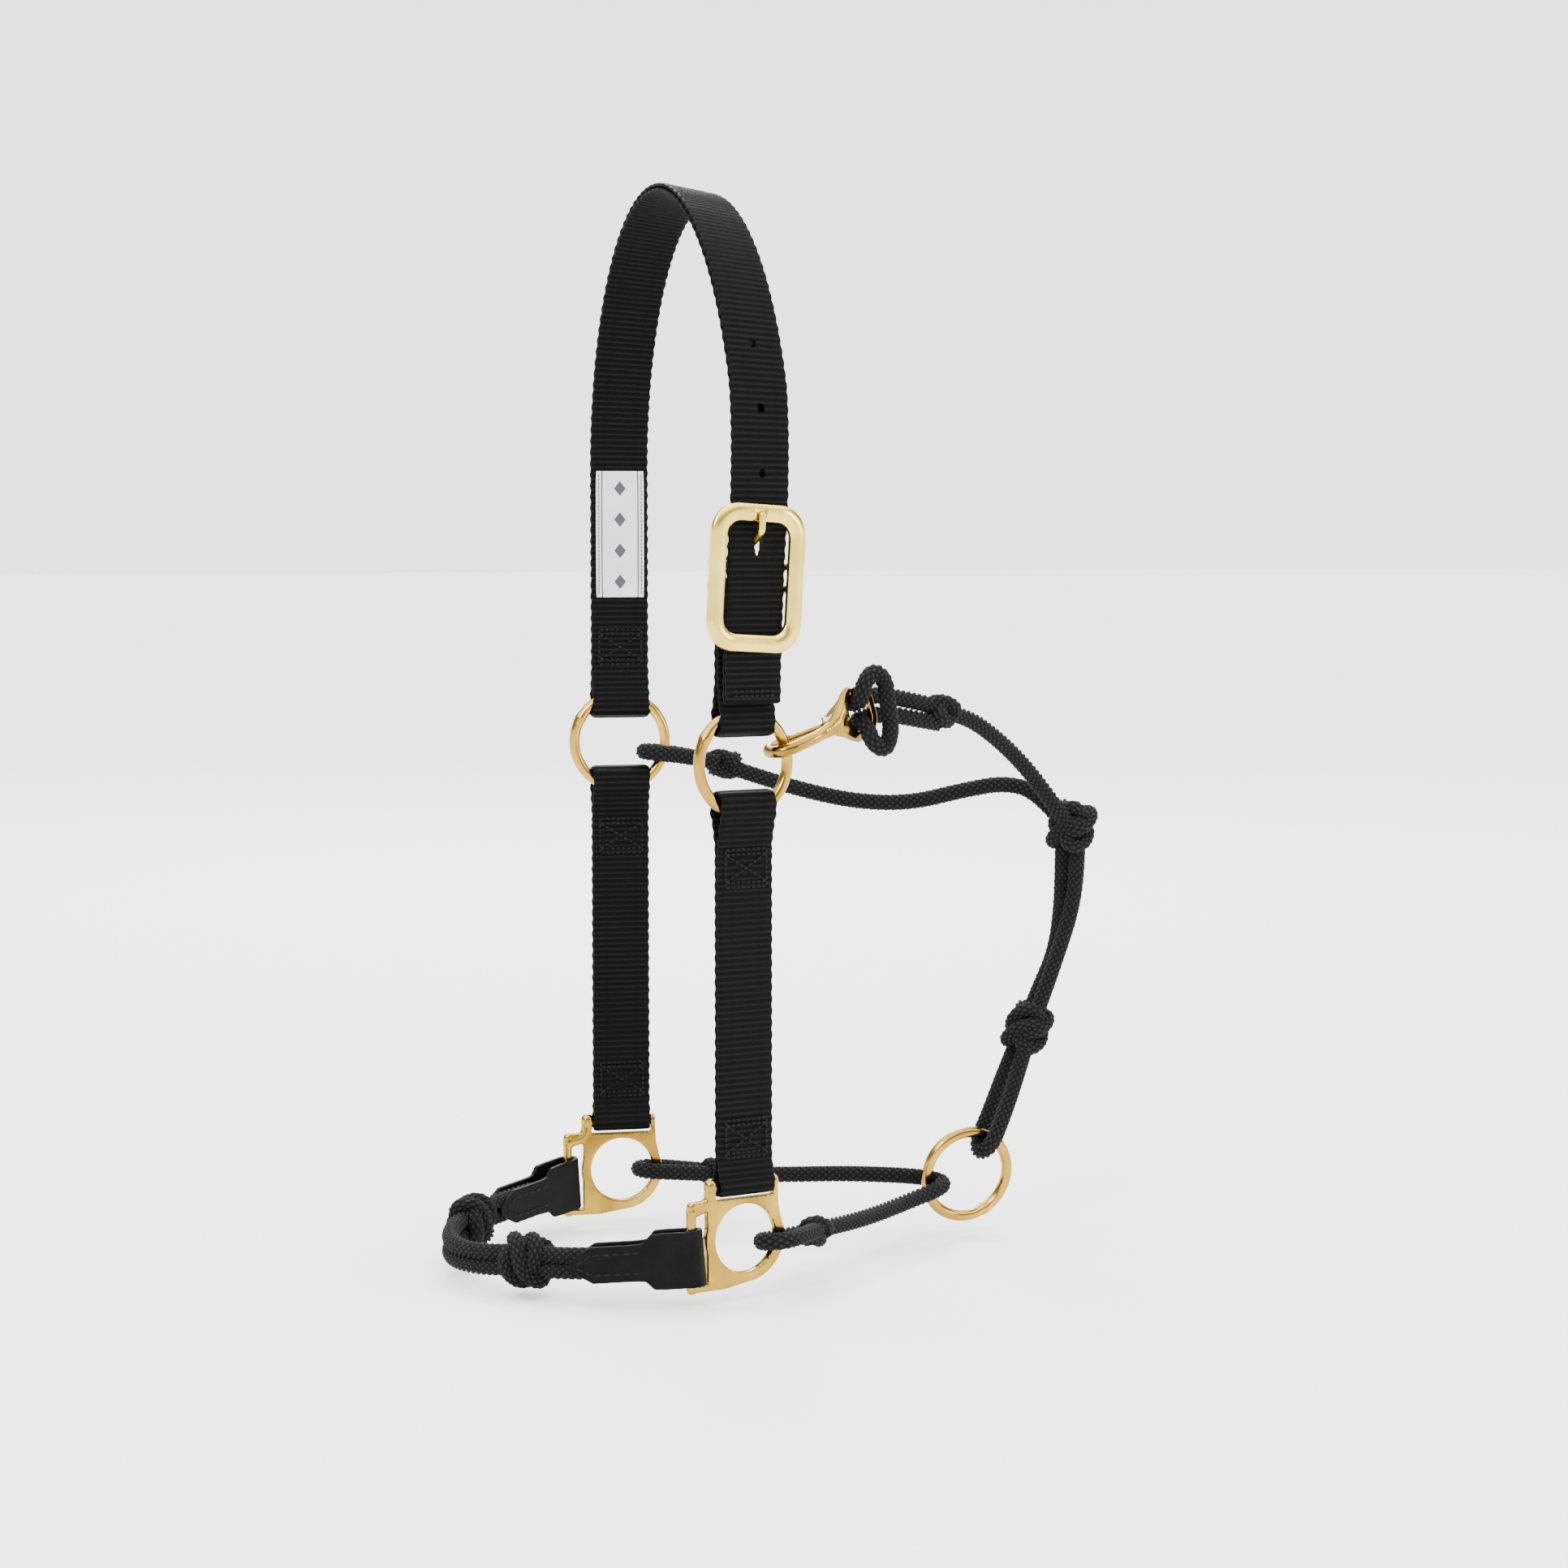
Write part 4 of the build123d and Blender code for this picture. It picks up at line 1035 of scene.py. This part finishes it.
# ---- Buckle ----
# A flat stamped frame in satin brass, with two cross bars brazed on behind it and a wire
# tongue that turns on the upper one. The chape holds it; it hangs a little out of true.
satin_finish = Finish("satin_brass", metallic=1.0, specular_ior_level=0.5)
satin_tone = satin_finish.grain(50.0, 4.0)
brushing = satin_finish.grain(500.0, 2.0, satin_finish.node("Mapping", {}, {
    "Vector": satin_finish.place(), "Scale": (1.0, 1.0, 0.08),
}))
satin_finish.varies("Base Color", satin_finish.shades(
    satin_tone, (0.25, (0.54, 0.39, 0.060)), (0.6, (0.76, 0.58, 0.120)),
    (0.85, (0.90, 0.73, 0.20)),
))
satin_finish.varies("Roughness", satin_tone * 0.10 + brushing * 0.10 + 0.14)
satin_finish.bumps(brushing, 0.00008, 0.6)
BUCKLE_MIDDLE_Z, BUCKLE_LEAN = -155.0, 3.5
FRAME_BACK, FRAME_THICK = 9.05, 3.0
BAND_HALF, BAND_MIDDLE, BAND_CORNER = 3.5, (17.7, 25.5), 9.0
DOME_RISE, DOME_DROP = 0.30, 1.25
BAR_END, BAR_KEPT = 14.6, 0.45
near_back = SIDES["near"].inverted()


def leaned(x, out, z):
    turn, up = radians(BUCKLE_LEAN), z - BUCKLE_MIDDLE_Z
    across = x * cos(turn) + up * sin(turn)
    return SIDES["near"] @ Vector((across, out, BUCKLE_MIDDLE_Z + up * cos(turn) - x * sin(turn)))


def domed(point):
    """Rounds the frame's face over from its inner to its outer edge, and trims the bars' ends."""
    x, out, z = near_back @ point
    if out > FRAME_BACK:
        beyond_x = abs(x) - BAND_MIDDLE[0] + BAND_CORNER
        beyond_z = abs(z - BUCKLE_MIDDLE_Z) - BAND_MIDDLE[1] + BAND_CORNER
        off_middle = (
            hypot(max(beyond_x, 0), max(beyond_z, 0)) + min(max(beyond_x, beyond_z), 0) - BAND_CORNER
        )
        across = min(1.0, abs(off_middle) / BAND_HALF)
        out += (out - FRAME_BACK) / FRAME_THICK * (DOME_RISE - DOME_DROP * across * across)
    elif abs(x) > BAR_END:
        x = (BAR_END + (abs(x) - BAR_END) * BAR_KEPT) * (1 if x > 0 else -1)
    return leaned(x, out, z)


cast(
    "buckle_stamping", "buckle_frame", "headpiece", 0.33, 12, finish=satin_finish,
    reshape=domed,
)
cast(
    "tongue_wire", "buckle_tongue", "buckle_tongue", 0.26, 4, finish=satin_finish,
    reshape=lambda point: leaned(*(near_back @ point)),
)

# ---- Snap ----
# A cast brass snap hooks the near branch to the near ring. Its two branches swell towards
# the eye, and its gate turns on a steel pin, with a small steel spring behind it.
snap_back = SNAP_PLACE.inverted()
DRAW_FROM, DRAW_RUN, DRAW = 12.0, 28.0, 5.0


def shortened(point):
    """Draws the eye's end of the snap in towards its hook."""
    x, y, z = snap_back @ point
    reach = min(1.0, max(0.0, (x - DRAW_FROM) / DRAW_RUN))
    return SNAP_PLACE @ Vector((x - DRAW * reach * reach * (3 - 2 * reach), y, z))


swells = []
for line in (            # each as (along, out, up, radius)
    ((14, -5.8, 0, 2.6), (22, -5.2, 0.3, 3.2), (28, -4.2, 1.4, 4.0), (33, -3.0, 4.2, 3.6),
     (38, -1.4, 8.2, 2.8), (41, -0.3, 10.0, 2.1)),
    ((26, -4.4, -0.6, 3.6), (32, -3.2, -3.0, 3.6), (37, -1.8, -6.6, 2.9), (40.5, -0.4, -9.4, 2.1)),
):
    for reach in np.linspace(0, len(line) - 1, 26):
        *point, radius = (np.interp(reach, range(len(line)), column) for column in zip(*line))
        swells.append(boss(SNAP_PLACE, point, radius, 0.66, 20))
# Painted shade: the snap and its gate take the dees' cast brass painted darker, a painted shade on the same
# metal.
shaded_snap_finish = brass_casting(
    "snap_brass_painted_darker", (0.25, (0.12, 0.065, 0.009)), (0.55, (0.25, 0.150, 0.021)),
    (0.8, (0.42, 0.27, 0.048)),
)
cast("snap_casting", "snap_body", "snap", 0.30, 12, extras=swells, finish=shaded_snap_finish, reshape=shortened)
cast("gate_casting", "snap_gate", "snap_gate", 0.24, 4, finish=shaded_snap_finish)
steel_finish = Finish("spring_steel", metallic=1.0)
steel_tone = steel_finish.grain(300.0)
steel_finish.varies("Base Color", steel_finish.shades(
    steel_tone, (0.3, (0.38, 0.38, 0.38)), (0.7, (0.6, 0.6, 0.6)),
))
steel_finish.varies("Roughness", steel_tone * 0.3 + 0.2)
for node in ("gate_pin", "gate_spring"):
    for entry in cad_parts[node].material_slots:
        entry.material = steel_finish.material

# ---- Floor and light ----
# A plain pale floor, just under the lowest rope, in a white room that is dim at the height
# of the halter and bright overhead, with three soft lamps aimed at the middle of the halter.
floor_finish = Finish(
    "pale_floor", base_color=(0.88, 0.88, 0.88, 1.0), roughness=0.8, specular_ior_level=0.05,
)
bpy.ops.object.select_all(action="DESELECT")
bpy.ops.mesh.primitive_plane_add(size=60.0, location=(0, 0, cad_box[0][2] - 0.004))
floor = floor_finish.on(bpy.context.object)
floor.name = "floor"
world = bpy.data.worlds.new("room")
bpy.context.scene.world = world
world.use_nodes = True
room = world.node_tree
height = room.nodes.new("ShaderNodeSeparateXYZ")
room.links.new(room.nodes.new("ShaderNodeTexCoord").outputs["Generated"], height.inputs[0])
walls = room.nodes.new("ShaderNodeValToRGB")
wall_shades = ((0.0, 0.95), (0.16, 0.95), (0.25, 0.16), (0.52, 0.20), (0.74, 1.9))
while len(walls.color_ramp.elements) < len(wall_shades):
    walls.color_ramp.elements.new(0.5)
for element, (place, shade) in zip(walls.color_ramp.elements, wall_shades):
    element.position, element.color = place, (shade, shade, shade, 1.0)
room.links.new(height.outputs[2], walls.inputs[0])
room.links.new(walls.outputs[0], room.nodes["Background"].inputs["Color"])
room.nodes["Background"].inputs["Strength"].default_value = 3.0
halter_middle = Vector((0.0, 0.0, -0.25))
for name, place, wide, power in (
    ("key", (-1.6, -1.7, 1.4), 1.2, 70.0),
    ("fill", (1.9, -1.2, 0.5), 1.0, 26.0),
    ("rim", (0.6, 1.9, 1.2), 1.0, 46.0),
):
    lamp_data = bpy.data.lights.new(name, "AREA")
    lamp_data.shape, lamp_data.size, lamp_data.energy = "DISK", wide, power
    lamp = linked(name, lamp_data)
    lamp.location = place
    lamp.rotation_euler = (halter_middle - Vector(place)).to_track_quat("-Z", "Y").to_euler()
